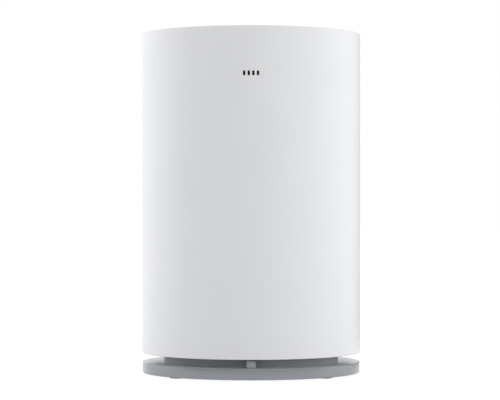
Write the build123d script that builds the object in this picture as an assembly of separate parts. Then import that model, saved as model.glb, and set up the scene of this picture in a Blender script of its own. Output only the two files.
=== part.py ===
from build123d import *
from math import atan2, cos, degrees, hypot, pi, radians, sin, sqrt
import os

# Oval room air purifier, in millimetres. The front faces -Y, +X is to the viewer's right and +Z is up.
# The origin is on the floor, under the middle of the oval. Room air enters through the gap above the
# base, rises between the cover and the filter, goes in through the pleats, up through the fan and out
# of the round grille in the top. The white cover lifts straight off once the front tab is pressed.

# Driving sizes of the whole object
overall_height = 500.0
cover_width = 322.0
cover_depth = 216.0
foot_height = 2.8
base_thickness = 15.5
intake_gap = 13.2

# Clearances
slip_gap = 0.3
thread_gap = 0.05
running_gap = 0.05
glue_gap = 0.05

# Pairs of arcs that each oval is drawn with
oval_steps = 12

# Straight steps that an oval's length is measured with
measuring_steps = 720

# How near an edge must be to a height, and to an oval as a share of its size, to lie on it
height_tolerance = 0.01
oval_tolerance = 0.005

# Screws, as shank radius, head radius and head height
m3 = (1.5, 2.8, 1.8)
m4 = (2.0, 3.6, 2.4)
recess_width = 0.7
recess_reach = 1.7

# Cover, with its four indicator windows
cover_wall = 3.0
cover_lip_reach = 9.0
cover_lip_thickness = 3.0
cover_edge_radius = 1.0
cover_inner_edge_radius = 1.2
window_count = 4
window_width = 3.4
window_height = 7.3
window_pitch = 6.45
window_drop = 67.0
lens_recess = 0.4
lens_bar_thickness = 2.0
lens_bar_margin = 4.5

# Base
base_inset = 0.6
base_wall = 3.0
base_roof = 3.0
base_edge_radius = 0.8
bottom_plate_thickness = 2.0
foot_radius = 12.0
foot_stem_radius = 4.0
foot_edge_radius = 0.5
foot_side_inset = 55.0
foot_front_inset = 55.0
base_boss_radius = 4.5
base_boss_inset = 11.0
base_boss_angles = (0, 55, 125, 180, 235, 305)

# Neck, with the mains inlet at the back and the power supply inside
neck_inset = 32.6
neck_wall = 3.0
neck_floor = 2.5
neck_rise = 18.5
neck_flange_reach = 4.0
neck_flange_thickness = 3.0
neck_flange_rise = 1.5
neck_boss_radius = 4.5
neck_boss_height = 9.0
neck_boss_side_inset = 36.0
neck_boss_front_inset = 37.0
deck_boss_side_inset = 68.0
deck_boss_front_inset = 18.5
screw_bite = 7.0
inlet_height = 8.2
inlet_width = 16.2
inlet_opening = 8.6
inlet_depth = 14.0
inlet_wall = 1.2
inlet_flange_margin = 2.4
inlet_flange_thickness = 1.5
inlet_pin_radius = 1.2
inlet_pin_length = 10.0
inlet_pin_spacing = 8.6
board_thickness = 1.6
power_board_width = 120.0
power_board_depth = 72.0
power_board_standoff = 5.0
standoff_radius = 3.2
standoff_inset = 5.0

# Parts on the power board, as place and size on the board
transformer = ((14.0, 6.0), (26.0, 22.0, 16.0))
heat_sink = ((-24.0, -20.0), (44.0, 4.0, 15.0))
input_filter = ((38.0, 12.0), (16.0, 14.0, 12.0))
bulk_capacitor = ((38.0, -14.0), 8.0, 16.0)
output_capacitors = [((-30.0, 14.0), 5.0, 13.0), ((-18.0, 14.0), 5.0, 13.0), ((-6.0, -8.0), 4.0, 11.0)]
relay = ((10.0, -20.0), (16.0, 12.0, 13.0))
cable_socket = (10.0, 12.0, 8.0)
can_chamfer = 0.8

# Intake screen round the neck
screen_thickness = 3.0
screen_slot_count = 64
screen_slot_width = 6.0
screen_rim = 3.5
screen_tab_zone = 12.0

# Release tab and its return spring
tab_width = 13.3
tab_thickness = 4.0
tab_setback = 14.0
tab_floor_gap = 0.4
tab_corner_radius = 1.5
tab_pad_height = 9.8
tab_pad_standing = 1.2
tab_travel = 4.0
tab_nose_height = 3.6
tab_stem_radius = 3.0
tab_stem_height = 8.5
tab_stop_radius = 4.6
tab_stop_thickness = 2.0
tab_groove_depth = 0.7
tab_edge_gap = 0.4
keeper_width = 18.0
keeper_height = 4.0
keeper_reach = 3.0
keeper_rise = 2.5
keeper_gap = 0.4
spring_wire_radius = 0.4
spring_radius = 4.1
spring_turns = 6

# Inner frame
lower_deck_thickness = 4.0
lower_deck_lip = 1.5
lower_deck_lip_height = 4.0
post_radius = 5.0
post_spread = 17.0
post_filter_gap = 5.5
deck_edge = 6.7
fan_deck_thickness = 4.0
fan_deck_front_gap = 9.0

# Filter cartridge
plenum_side_gap = 52.0
plenum_front_gap = 27.0
gasket_thickness = 3.0
gasket_width = 8.0
gasket_inset = 2.0
cap_plate = 3.0
cap_rim = 1.5
cap_rim_height = 8.0
pleat_count = 96
pleat_depth = 20.0
pleat_wall_shift = 5.3
carbon_thickness = 4.0
layer_gap = 0.5

# Fan section
duct_height = 131.0
duct_gap = 14.5
duct_wall = 2.5
duct_ear_radius = 5.5
duct_ear_reach = 7.0
duct_ear_height = 8.0
duct_ear_angle = 35.0
ledge_width = 12.0
ledge_height = 4.0
ledge_reach = 3.0
ledge_angles = (0, 90, 180, 270)
inlet_ring_wall = 2.0
inlet_ring_curve = 14.0
inlet_ring_flange = 10.0
inlet_ring_throat = 6.0
inlet_screw_angles = (45, 135, 225, 315)
eye_clearance = 1.0
eye_overlap = 5.0
diffuser_gap = 10.0
blade_reach = 27.0
blade_count = 9
blade_thickness = 1.6
blade_sweep = 48.0
blade_bow = 8.0
impeller_height = 64.0
impeller_skin = 1.6
eye_ring_height = 8.0
shroud_rise = 9.0
backplate_thickness = 2.0
hub_wall = 2.4

# Motor
rotor_radius = 30.0
rotor_wall = 2.0
rotor_height = 26.0
rotor_floor = 2.5
rotor_drop = 5.0
magnet_thickness = 2.6
air_gap = 0.8
stator_height = 13.0
stator_teeth = 9
tooth_width = 4.6
tooth_tip = 2.2
tooth_spacing = 6.0
tooth_root = 1.0
winding_thickness = 1.1
winding_rise = 2.0
bearing_radius = 5.5
bearing_height = 5.0
bearing_tube_wall = 2.5
shaft_radius = 2.5
shaft_chamfer = 0.5
nut_radius = 4.4
nut_sides = 6
nut_height = 4.0
motor_gap = 6.0
motor_board_radius = 26.0

# Diffuser
hub_radius = 36.0
hub_shell = 2.0
hub_floor = 3.0
diffuser_ring_wall = 2.5
vane_count = 11
vane_thickness = 1.8
vane_height = 26.0
vane_tilt = 28.0
vane_lift = 3.0

# Top
seal_thickness = 3.0
deck_rim_width = 5.0
deck_rim_height = 4.0
deck_plate = 3.0
deck_cover_gap = 3.5
grille_flange = 4.5
grille_flange_thickness = 1.5
grille_depth = 7.0
grille_ring_wall = 2.5
grille_fin_count = 48
grille_fin_thickness = 1.7
grille_fin_sweep = 26.0
grille_fin_bow = 5.0
grille_fin_drop = 1.0
pod_radius = 34.8
pod_wall = 2.0
pod_depth = 17.0
panel_thickness = 2.5
panel_standing = 3.5
panel_edge_radius = 0.8
key_radius = 9.0
key_spacing = 26.0
key_flange = 1.5
key_flange_thickness = 1.5
key_travel = 1.2
key_standing = 1.4
key_gap = 0.15
key_edge_radius = 0.7
key_stem_radius = 2.0
control_board_radius = 28.0
control_board_height = 4.0
switch_size = 6.0
switch_height = 3.4

# Indicator lamps
indicator_board_width = 34.0
indicator_board_height = 16.0
indicator_air_gap = 2.5
led_size = 2.6
led_height = 1.4
bracket_thickness = 2.0
bracket_foot = 8.0
bracket_ear = 13.0

# Wiring
cable_radius = 2.75
cable_bend = 17.0
connector_width = 14.0
connector_height = 18.0
connector_lift = 3.0
connector_margin = 3.0
grommet_wall = 2.0
grommet_lip = 1.2
clip_height = 6.0
clip_wall = 1.4
clip_levels = (0.2, 0.5, 0.8)


def inset(outline, by):
    """Half width and half depth of an oval drawn in by the given distance."""
    return outline[0] - by, outline[1] - by


# Ovals, as half width and half depth
cover_out = (cover_width / 2, cover_depth / 2)
cover_in = inset(cover_out, cover_wall)
base_out = inset(cover_out, base_inset)
base_in = inset(base_out, base_wall)
neck_out = inset(cover_out, neck_inset)
neck_in = inset(neck_out, neck_wall)
filter_out = (cover_in[0] - plenum_side_gap, cover_in[1] - plenum_front_gap)
pleat_out = inset(filter_out, cap_rim + layer_gap)
pleat_in = inset(pleat_out, pleat_depth)
carbon_out = inset(pleat_in, layer_gap)
carbon_in = inset(carbon_out, carbon_thickness)
core_out = inset(carbon_in, layer_gap)
core_in = inset(core_out, cap_rim)
post_x = filter_out[0] + post_filter_gap + post_radius
lower_deck_out = (post_x + post_radius + deck_edge, filter_out[1] + slip_gap + lower_deck_lip + deck_edge)
fan_deck_out = (lower_deck_out[0], cover_in[1] - fan_deck_front_gap)
top_deck_out = inset(cover_in, deck_cover_gap)

# Heights
base_bottom = foot_height
base_top = base_bottom + base_thickness
cover_bottom = base_top + intake_gap
cover_top = overall_height
lip_under = cover_top - cover_lip_thickness
deck_rim_top = lip_under - seal_thickness
deck_top = deck_rim_top - deck_rim_height
deck_under = deck_top - deck_plate
neck_top = cover_bottom + neck_rise
screen_bottom = cover_bottom + neck_flange_rise + neck_flange_thickness
screen_top = screen_bottom + screen_thickness
lower_deck_top = neck_top + lower_deck_thickness
fan_deck_top = deck_under - duct_height
fan_deck_under = fan_deck_top - fan_deck_thickness
cap_bottom = lower_deck_top + gasket_thickness
cap_top = fan_deck_under - gasket_thickness
pleat_bottom = cap_bottom + cap_plate
pleat_top = cap_top - cap_plate

# Fan radii, worked inward from the cover, and fan heights, worked up from the fan deck
duct_radius = cover_in[1] - duct_gap - duct_wall
duct_out = duct_radius + duct_wall
impeller_radius = duct_radius - diffuser_gap
eye_radius = impeller_radius - blade_reach
throat_out = eye_radius - eye_clearance
throat_in = throat_out - inlet_ring_wall
flare_radius = throat_in + inlet_ring_curve
throat_top = fan_deck_top + inlet_ring_curve + inlet_ring_throat
impeller_bottom = throat_top - eye_overlap
impeller_top = impeller_bottom + impeller_height
hub_bottom = impeller_top + motor_gap
hub_floor_top = hub_bottom + hub_floor
pod_bottom = deck_top - pod_depth
panel_top = deck_top + panel_standing
panel_under = panel_top - panel_thickness
rotor_top = impeller_top + motor_gap - rotor_drop
rotor_bottom = rotor_top - rotor_height
magnet_in = rotor_radius - rotor_wall - magnet_thickness
stator_radius = magnet_in - air_gap
bearing_tube_out = bearing_radius + bearing_tube_wall

# Release tab places, along Y. Pressing moves the tab towards +Y.
tab_front = -(cover_out[1] - tab_setback)
tab_back = tab_front + tab_thickness
tab_bottom = base_top + tab_floor_gap
keeper_bottom = cover_bottom + keeper_rise
keeper_top = keeper_bottom + keeper_height
keeper_face = -(cover_in[1] - keeper_reach)
nose_bottom = keeper_top + keeper_gap
tab_top = nose_bottom + tab_nose_height
stem_z = base_top + tab_stem_height
neck_front = -neck_out[1]
stem_stop = neck_front + neck_wall + slip_gap

# Indicator and power inlet places
window_z = cover_top - window_drop
lens_back = cover_in[1] - glue_gap - lens_bar_thickness
indicator_face = -(lens_back - indicator_air_gap - led_height)
inlet_z = base_top + inlet_height


def on_oval(outline, angle):
    """Place on an oval at a parameter angle in degrees."""
    return Vector(outline[0] * cos(radians(angle)), outline[1] * sin(radians(angle)))


def along_oval(outline, angle):
    """Direction of an oval at a parameter angle in degrees."""
    return Vector(-outline[0] * sin(radians(angle)), outline[1] * cos(radians(angle))).normalized()


def oval(outline):
    """Oval face drawn with pairs of tangent arcs that follow an ellipse to about a tenth of a millimetre."""
    arcs = []
    for n in range(oval_steps):
        low, high = 360 * n / oval_steps, 360 * (n + 1) / oval_steps
        start, end = on_oval(outline, low), on_oval(outline, high)
        leaving, arriving = along_oval(outline, low), along_oval(outline, high)
        chord, both = end - start, leaving + arriving
        turn = 1 - leaving.dot(arriving)
        reach = (sqrt(chord.dot(both) ** 2 + 2 * turn * chord.dot(chord)) - chord.dot(both)) / (2 * turn)
        joint = (start + end + (leaving - arriving) * reach) * 0.5
        arcs.append(TangentArc(start, joint, tangent=leaving))
        arcs.append(TangentArc(end, joint, tangent=-arriving))
    return make_face(arcs)


def oval_block(outline, bottom, top):
    """Solid oval slab between two heights."""
    return Pos(0, 0, bottom) * extrude(oval(outline), top - bottom)


def oval_ring(outline, wall, bottom, top):
    """Oval tube whose wall lies inside the outline."""
    return Pos(0, 0, bottom) * extrude(oval(outline) - oval(inset(outline, wall)), top - bottom)


def edges_on(shape, outline, height):
    """Edges that run round an oval at a height."""
    found = []
    for edge in shape.edges():
        middle = edge @ 0.5
        level = abs((edge @ 0).Z - height) + abs(middle.Z - height) + abs((edge @ 1).Z - height)
        off = abs(hypot(middle.X / outline[0], middle.Y / outline[1]) - 1)
        if level < height_tolerance and off < oval_tolerance:
            found.append(edge)
    return found


def round_block(radius, bottom, top, at=(0, 0)):
    """Upright cylinder between two heights."""
    return Pos(at[0], at[1], bottom) * extrude(Circle(radius), top - bottom)


def round_ring(outer, inner, bottom, top, at=(0, 0)):
    """Upright round tube between two heights."""
    return Pos(at[0], at[1], bottom) * extrude(Circle(outer) - Circle(inner), top - bottom)


def block(x, y, z):
    """Box between two values on each axis."""
    middle = Pos((x[0] + x[1]) / 2, (y[0] + y[1]) / 2, (z[0] + z[1]) / 2)
    return middle * Box(x[1] - x[0], y[1] - y[0], z[1] - z[0])


def rod(radius, front, back, x, z):
    """Cylinder along Y between two places."""
    return Pos(x, front, z) * Rot(-90, 0, 0) * extrude(Circle(radius), back - front)


def turned(outline_points):
    """Solid of revolution about Z from (radius, height) points."""
    return revolve(Plane.XZ * make_face(Polyline(*outline_points, close=True)), Axis.Z)


def corners(x, y):
    """The four places that mirror one place in X and Y."""
    return [(x, y), (-x, y), (-x, -y), (x, -y)]


def polar(radius, angle):
    """Place at a radius and an angle in degrees from +X."""
    return radius * cos(radians(angle)), radius * sin(radians(angle))


def even_places(outline, count):
    """Places spaced evenly along an oval, each with the direction square to the oval, in degrees."""
    points = [on_oval(outline, 360 * i / measuring_steps - 90) for i in range(measuring_steps + 1)]
    lengths = [0.0]
    for a, b in zip(points, points[1:]):
        lengths.append(lengths[-1] + (b - a).length)
    places, i = [], 0
    for n in range(count):
        wanted = lengths[-1] * n / count
        while lengths[i + 1] < wanted:
            i += 1
        share = (wanted - lengths[i]) / (lengths[i + 1] - lengths[i])
        place = points[i] + (points[i + 1] - points[i]) * share
        x, y = place.X, place.Y
        places.append((x, y, degrees(atan2(y / outline[1] ** 2, x / outline[0] ** 2))))
    return places


def group(solids):
    """Several separate solids as one node."""
    return Compound(children=[s for shape in solids for s in shape.solids()])


def screw(size, at, seat, length, up):
    """Cross-head screw whose head's underside is at the seat and whose shank points up or down."""
    shank_radius, head_radius, head_height = size
    way = 1 if up else -1
    far = seat + way * length
    head_end = seat - way * head_height
    shank = round_block(shank_radius, min(seat, far), max(seat, far), at)
    head = round_block(head_radius, min(seat, head_end), max(seat, head_end), at)
    depth = head_height / 2
    low, high = sorted((head_end, head_end + way * depth))
    cross = block((-recess_reach, recess_reach), (-recess_width, recess_width), (low, high))
    cross += block((-recess_width, recess_width), (-recess_reach, recess_reach), (low, high))
    return shank + head - Pos(at[0], at[1], 0) * cross


def screw_hole(size, at, bottom, top):
    """Hole that a screw's shank fills."""
    return round_block(size[0] + thread_gap, bottom, top, at)


# Places of the screws, which the pieces they join share
base_boss_places = [tuple(on_oval(inset(base_in, base_boss_inset), a))[:2] for a in base_boss_angles]
foot_places = corners(base_out[0] - foot_side_inset, base_out[1] - foot_front_inset)
neck_boss_places = corners(neck_out[0] - neck_boss_side_inset, neck_out[1] - neck_boss_front_inset)
deck_boss_places = corners(neck_out[0] - deck_boss_side_inset, neck_out[1] - deck_boss_front_inset)
post_places = corners(post_x, post_spread)
ear_radius = duct_out + duct_ear_reach
ear_places = [polar(ear_radius, s + a) for s in (0, 180) for a in (-duct_ear_angle, duct_ear_angle)]
standoff_places = corners(power_board_width / 2 - standoff_inset, power_board_depth / 2 - standoff_inset)
bottom_plate_top = base_bottom + bottom_plate_thickness
base_roof_under = base_top - base_roof


# Cover


def window_places():
    """Middle of each indicator window, along X."""
    return [(i - (window_count - 1) / 2) * window_pitch for i in range(window_count)]


def window_prisms(width, height):
    """Upright rounded bars through the front wall, one for each window."""
    outline = Rot(0, 0, 90) * SlotOverall(height, width)
    bar = Rot(90, 0, 0) * extrude(outline, cover_out[1] + cover_wall)
    return [Pos(x, 0, window_z) * bar for x in window_places()]


def make_cover_shell():
    """One-piece oval cover, open below, with a lip turned in round its top."""
    shell = oval_block(cover_out, cover_bottom, cover_top)
    rims = edges_on(shell, cover_out, cover_bottom) + edges_on(shell, cover_out, cover_top)
    shell = fillet(rims, cover_edge_radius)
    shell -= oval_block(cover_in, cover_bottom, lip_under)
    mouth = inset(cover_in, cover_lip_reach)
    shell -= oval_block(mouth, lip_under, cover_top)
    shell = fillet(edges_on(shell, mouth, cover_top), cover_inner_edge_radius)
    for prism in window_prisms(window_width, window_height):
        shell -= prism
    return shell


def make_indicator_lens():
    """Smoked light guide: a bar behind the cover's wall with a pad standing in each window."""
    half = (window_count - 1) / 2 * window_pitch + window_width / 2 + lens_bar_margin
    rise = window_height / 2 + lens_bar_margin
    bar_out = inset(cover_in, glue_gap)
    zone = block((-half, half), (-cover_out[1], 0), (window_z - rise, window_z + rise))
    bar = oval_ring(bar_out, lens_bar_thickness, window_z - rise, window_z + rise) & zone
    skin = oval_ring(
        inset(cover_out, lens_recess),
        cover_wall + lens_bar_thickness / 2 - lens_recess,
        window_z - rise,
        window_z + rise,
    )
    for prism in window_prisms(window_width - 2 * glue_gap, window_height - 2 * glue_gap):
        bar += prism & skin
    return bar


def make_catch_keeper():
    """Ledge inside the cover's front wall that the release tab's nose holds down."""
    half = keeper_width / 2
    zone = block((-half, half), (-cover_out[1], keeper_face), (keeper_bottom, keeper_top))
    return oval_block(inset(cover_in, glue_gap), keeper_bottom, keeper_top) & zone


# Base


def make_base_shell():
    """Brushed base, hollow from below, with bosses for the bottom plate's screws."""
    shell = oval_block(base_out, base_bottom, base_top)
    rims = edges_on(shell, base_out, base_bottom) + edges_on(shell, base_out, base_top)
    shell = fillet(rims, base_edge_radius)
    shell -= oval_block(base_in, base_bottom, base_roof_under)
    for at in base_boss_places:
        shell += round_block(base_boss_radius, bottom_plate_top, base_roof_under, at)
    for at in base_boss_places:
        shell -= screw_hole(m3, at, bottom_plate_top, bottom_plate_top + screw_bite)
    for at in neck_boss_places:
        shell -= screw_hole(m4, at, base_roof_under, base_top)
    return shell


def make_bottom_plate():
    """Steel plate that closes the base and steadies it."""
    plate = oval_block(inset(base_in, slip_gap), base_bottom, bottom_plate_top)
    for at in base_boss_places:
        plate -= screw_hole(m3, at, base_bottom, bottom_plate_top)
        plate -= round_block(m3[1] + thread_gap, base_bottom, base_bottom + bottom_plate_thickness / 2, at)
    for at in foot_places:
        plate -= round_block(foot_stem_radius + thread_gap, base_bottom, bottom_plate_top, at)
    return plate


def make_foot(at):
    """Rubber foot with a stem pushed through the bottom plate."""
    pad = round_block(foot_radius, 0, foot_height, at)
    edge = pad.edges().sort_by(Axis.Z)[0]
    pad = fillet(edge, foot_edge_radius)
    stem = round_block(foot_stem_radius, foot_height, bottom_plate_top, at)
    return pad + stem


def make_base_screws():
    """Screws of the bottom plate, and those that hold the neck to the base."""
    low = base_bottom + bottom_plate_thickness / 2
    sunk = (m3[0], m3[1], bottom_plate_thickness / 2)
    plate_screws = [screw(sunk, at, low, screw_bite, True) for at in base_boss_places]
    neck_screws = [screw(m4, at, base_roof_under, base_roof + screw_bite, True) for at in neck_boss_places]
    return group(plate_screws + neck_screws)


# Neck


def inlet_opening_prism(front, back):
    """Two-lobed socket hollow between two places along Y."""
    outline = SlotOverall(inlet_width, inlet_opening)
    return Pos(0, back, inlet_z) * Rot(90, 0, 0) * extrude(outline, back - front)


inlet_body_half = inlet_width / 2 + inlet_wall
inlet_body_rise = inlet_opening / 2 + inlet_wall
inlet_face = neck_out[1] + glue_gap + inlet_flange_thickness
inlet_back = inlet_face - inlet_depth - inlet_wall
inlet_pin_x = (-inlet_pin_spacing / 2, inlet_pin_spacing / 2)
power_board_z = base_top + neck_floor + power_board_standoff


def make_neck_housing():
    """Dark oval neck that carries everything above the base. Its flange holds the intake screen."""
    neck = oval_ring(neck_out, neck_wall, base_top, neck_top)
    neck += oval_block(neck_in, base_top, base_top + neck_floor)
    flange_bottom = screen_bottom - neck_flange_thickness
    flange_out = inset(neck_out, -neck_flange_reach)
    neck += oval_ring(flange_out, neck_flange_reach + neck_wall / 2, flange_bottom, screen_bottom)
    for at in neck_boss_places:
        neck += round_block(neck_boss_radius, base_top, base_top + neck_boss_height, at)
    for at in deck_boss_places:
        neck += round_block(neck_boss_radius, base_top, neck_top, at)
    for at in standoff_places:
        neck += round_block(standoff_radius, base_top, power_board_z, at)
    for at in neck_boss_places:
        neck -= screw_hole(m4, at, base_top, base_top + screw_bite)
    for at in deck_boss_places:
        neck -= screw_hole(m4, at, neck_top - screw_bite, neck_top)
    for at in standoff_places:
        neck -= screw_hole(m3, at, power_board_z - power_board_standoff, power_board_z)
    neck -= rod(tab_stem_radius + running_gap, neck_front - neck_wall, stem_stop, 0, stem_z)
    inlet_cut = block(
        (-inlet_body_half - glue_gap, inlet_body_half + glue_gap),
        (inlet_back, inlet_face),
        (inlet_z - inlet_body_rise - glue_gap, inlet_z + inlet_body_rise + glue_gap),
    )
    return neck - inlet_cut


def make_power_inlet():
    """Two-pin mains inlet with a flange on the neck's back."""
    flange_half = inlet_body_half + inlet_flange_margin
    flange_rise = inlet_opening / 2 + inlet_wall / 2
    body = block(
        (-inlet_body_half, inlet_body_half),
        (inlet_back, inlet_face),
        (inlet_z - inlet_body_rise, inlet_z + inlet_body_rise),
    )
    body += block(
        (-flange_half, flange_half),
        (inlet_face - inlet_flange_thickness, inlet_face),
        (inlet_z - flange_rise, inlet_z + flange_rise),
    )
    body -= inlet_opening_prism(inlet_face - inlet_depth, inlet_face)
    for x in inlet_pin_x:
        body -= rod(inlet_pin_radius + thread_gap, inlet_back, inlet_face, x, inlet_z)
    return body


def make_inlet_pins():
    """The inlet's two contact pins."""
    tip = inlet_back + inlet_wall + inlet_pin_length
    return group([rod(inlet_pin_radius, inlet_back, tip, x, inlet_z) for x in inlet_pin_x])


def make_power_board():
    """Bare circuit board of the power supply."""
    half_x, half_y = power_board_width / 2, power_board_depth / 2
    board = block((-half_x, half_x), (-half_y, half_y), (power_board_z, power_board_z + board_thickness))
    for at in standoff_places:
        board -= screw_hole(m3, at, power_board_z, power_board_z + board_thickness)
    return board


def make_power_board_parts():
    """Transformer, capacitors, heat sink and plug socket standing on the power board."""
    floor = power_board_z + board_thickness
    parts = []
    for at, (width, depth, height) in (transformer, heat_sink, input_filter, relay):
        body = block((-width / 2, width / 2), (-depth / 2, depth / 2), (floor, floor + height))
        parts.append(Pos(at[0], at[1], 0) * body)
    for at, radius, height in [bulk_capacitor, *output_capacitors]:
        can = round_block(radius, floor, floor + height, at)
        parts.append(chamfer(can.edges().sort_by(Axis.Z)[-1], can_chamfer))
    width, depth, height = cable_socket
    socket = block((cable_low_end, cable_low_end + width), (-depth / 2, depth / 2), (floor, floor + height))
    parts.append(socket)
    return group(parts)


def make_intake_screen():
    """Slotted oval ring between the neck and the cover, through which the air enters."""
    outer, inner = inset(cover_in, 2 * slip_gap), inset(neck_out, -slip_gap)
    face = oval(outer) - oval(inner)
    middle = ((outer[0] + inner[0]) / 2, (outer[1] + inner[1]) / 2)
    length = outer[1] - inner[1] - 2 * screen_rim
    for x, y, angle in even_places(middle, screen_slot_count):
        if y > 0 or abs(x) > screen_tab_zone:
            face -= Pos(x, y) * Rot(0, 0, angle) * SlotOverall(length, screen_slot_width)
    ring = Pos(0, 0, screen_bottom) * extrude(face, screen_thickness)
    half = tab_width / 2 + tab_edge_gap
    way = block(
        (-half, half),
        (keeper_face - tab_edge_gap, tab_back + tab_travel + tab_edge_gap),
        (screen_bottom, screen_top),
    )
    keeper_half = keeper_width / 2 + tab_edge_gap
    keeper_way = block(
        (-keeper_half, keeper_half),
        (-cover_in[1], keeper_face + tab_edge_gap),
        (screen_bottom, screen_top),
    )
    return ring - way - keeper_way


# Release tab


def make_release_tab():
    """Front tab: a lever with a raised pad, a nose over the keeper and a stem through the neck."""
    half = tab_width / 2
    pad_back = tab_front + tab_pad_standing
    lever = block((-half, half), (pad_back, tab_back), (tab_bottom, tab_top))
    low = [e for e in lever.edges().filter_by(Axis.Y) if e.center().Z < tab_bottom + height_tolerance]
    lever = fillet(low, tab_corner_radius)
    pad = block((-half, half), (tab_front, pad_back), (tab_bottom, tab_bottom + tab_pad_height))
    lever += fillet(pad.edges().filter_by(Axis.Y), tab_corner_radius)
    nose_tip = keeper_face + keeper_gap
    lever += block((-half, half), (nose_tip, tab_back), (nose_bottom, tab_top))
    stem_end = stem_stop + tab_travel + tab_stop_thickness
    stem = rod(tab_stem_radius, tab_back, stem_end, 0, stem_z)
    groove_end = stem_stop + tab_stop_thickness
    groove = rod(tab_stem_radius, stem_stop, groove_end, 0, stem_z)
    core = rod(tab_stem_radius - tab_groove_depth, stem_stop, groove_end, 0, stem_z)
    return lever + (stem - groove + core)


def make_tab_stop_ring():
    """Clip in the stem's groove, inside the neck, that stops the tab coming out."""
    hole = tab_stem_radius - tab_groove_depth + thread_gap
    end = stem_stop + tab_stop_thickness
    ring = rod(tab_stop_radius, stem_stop, end, 0, stem_z) - rod(hole, stem_stop, end, 0, stem_z)
    return ring - block((-hole / 2, hole / 2), (stem_stop, end), (stem_z - tab_stop_radius, stem_z))


def make_tab_spring():
    """Wire spring round the stem, between the neck and the back of the tab."""
    start = tab_back + spring_wire_radius + glue_gap
    end = neck_front - spring_wire_radius - slip_gap
    coil = Helix((end - start) / spring_turns, end - start, spring_radius)
    profile = Plane(coil @ 0, z_dir=coil % 0) * Circle(spring_wire_radius)
    return Pos(0, start, stem_z) * Rot(-90, 0, 0) * sweep(profile, path=coil)


# Inner frame


def make_lower_deck():
    """Deck on the neck that the filter and the posts stand on."""
    deck = oval_block(lower_deck_out, neck_top, lower_deck_top)
    lip_out = inset(filter_out, -slip_gap - lower_deck_lip)
    deck += oval_ring(lip_out, lower_deck_lip, neck_top, lower_deck_top + lower_deck_lip_height)
    for at in post_places:
        deck -= screw_hole(m4, at, neck_top, lower_deck_top)
    for at in deck_boss_places:
        deck -= screw_hole(m4, at, neck_top, lower_deck_top)
        deck -= round_block(m4[1] + thread_gap, lower_deck_top - m4[2], lower_deck_top, at)
    deck -= round_block(cable_radius + grommet_wall, neck_top, lower_deck_top, (cable_x, 0))
    return deck


def make_post(at):
    """Aluminium tube between the lower deck and the fan deck, tapped at both ends."""
    tube = round_block(post_radius, lower_deck_top, fan_deck_under, at)
    tube -= screw_hole(m4, at, lower_deck_top, fan_deck_under)
    return tube


def deck_screws():
    """Screws through both decks into the posts, and those of the lower deck into the neck."""
    bite = lower_deck_thickness + 2 * screw_bite
    low = [screw(m4, at, neck_top, bite, True) for at in post_places]
    high = [screw(m4, at, fan_deck_top, bite, False) for at in post_places]
    sunk_seat = lower_deck_top - m4[2]
    neck = [screw(m4, at, sunk_seat, sunk_seat - neck_top + screw_bite, False) for at in deck_boss_places]
    return low + high + neck


def make_fan_deck():
    """Oval deck on the posts that carries the fan."""
    deck = oval_block(fan_deck_out, fan_deck_under, fan_deck_top)
    deck -= round_block(flare_radius, fan_deck_under, fan_deck_top)
    for at in post_places:
        deck -= screw_hole(m4, at, fan_deck_under, fan_deck_top)
    for at in ear_places:
        deck -= screw_hole(m3, at, fan_deck_under, fan_deck_top)
    for at in inlet_screw_places:
        deck -= screw_hole(m3, at, fan_deck_under, fan_deck_top)
    deck -= round_block(cable_radius + grommet_wall, fan_deck_under, fan_deck_top, (cable_x, 0))
    return deck


# Filter cartridge


def make_gasket(bottom):
    """Oval foam gasket at one end of the filter."""
    return oval_ring(inset(filter_out, gasket_inset), gasket_width, bottom, bottom + gasket_thickness)


def make_filter_bottom_cap():
    """Closed cap with a rim on each side of the filter's layers."""
    cap = oval_block(filter_out, cap_bottom, pleat_bottom)
    cap += oval_ring(filter_out, cap_rim, cap_bottom, pleat_bottom + cap_rim_height)
    return cap + oval_ring(core_out, cap_rim, cap_bottom, pleat_bottom + cap_rim_height)


def make_filter_top_cap():
    """Open cap at the top of the filter, whose middle leads to the fan."""
    cap = oval_block(filter_out, pleat_top, cap_top)
    cap += oval_ring(filter_out, cap_rim, pleat_top - cap_rim_height, cap_top)
    cap += oval_ring(core_out, cap_rim, pleat_top - cap_rim_height, cap_top)
    return cap - oval_block(core_in, pleat_top - cap_rim_height, cap_top)


def pleat_line(high, low):
    """Zigzag round the oval between two depths below the pleats' outside."""
    places = even_places(pleat_out, 2 * pleat_count)
    points = []
    for n, (x, y, angle) in enumerate(places):
        depth = high if n % 2 == 0 else low
        points.append((x - depth * cos(radians(angle)), y - depth * sin(radians(angle))))
    return make_face(Polyline(*points, close=True))


def make_filter_media():
    """Pleated filter paper, folded round the oval."""
    fold = pleat_depth - pleat_wall_shift
    face = pleat_line(0, fold) - pleat_line(pleat_wall_shift, pleat_depth)
    return Pos(0, 0, pleat_bottom) * extrude(face, pleat_top - pleat_bottom)


def make_carbon_sleeve():
    """Carbon layer inside the pleats."""
    return oval_ring(carbon_out, carbon_thickness, pleat_bottom, pleat_top)


# Fan section

inlet_screw_places = [polar(flare_radius + inlet_ring_flange / 2, a) for a in inlet_screw_angles]


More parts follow.
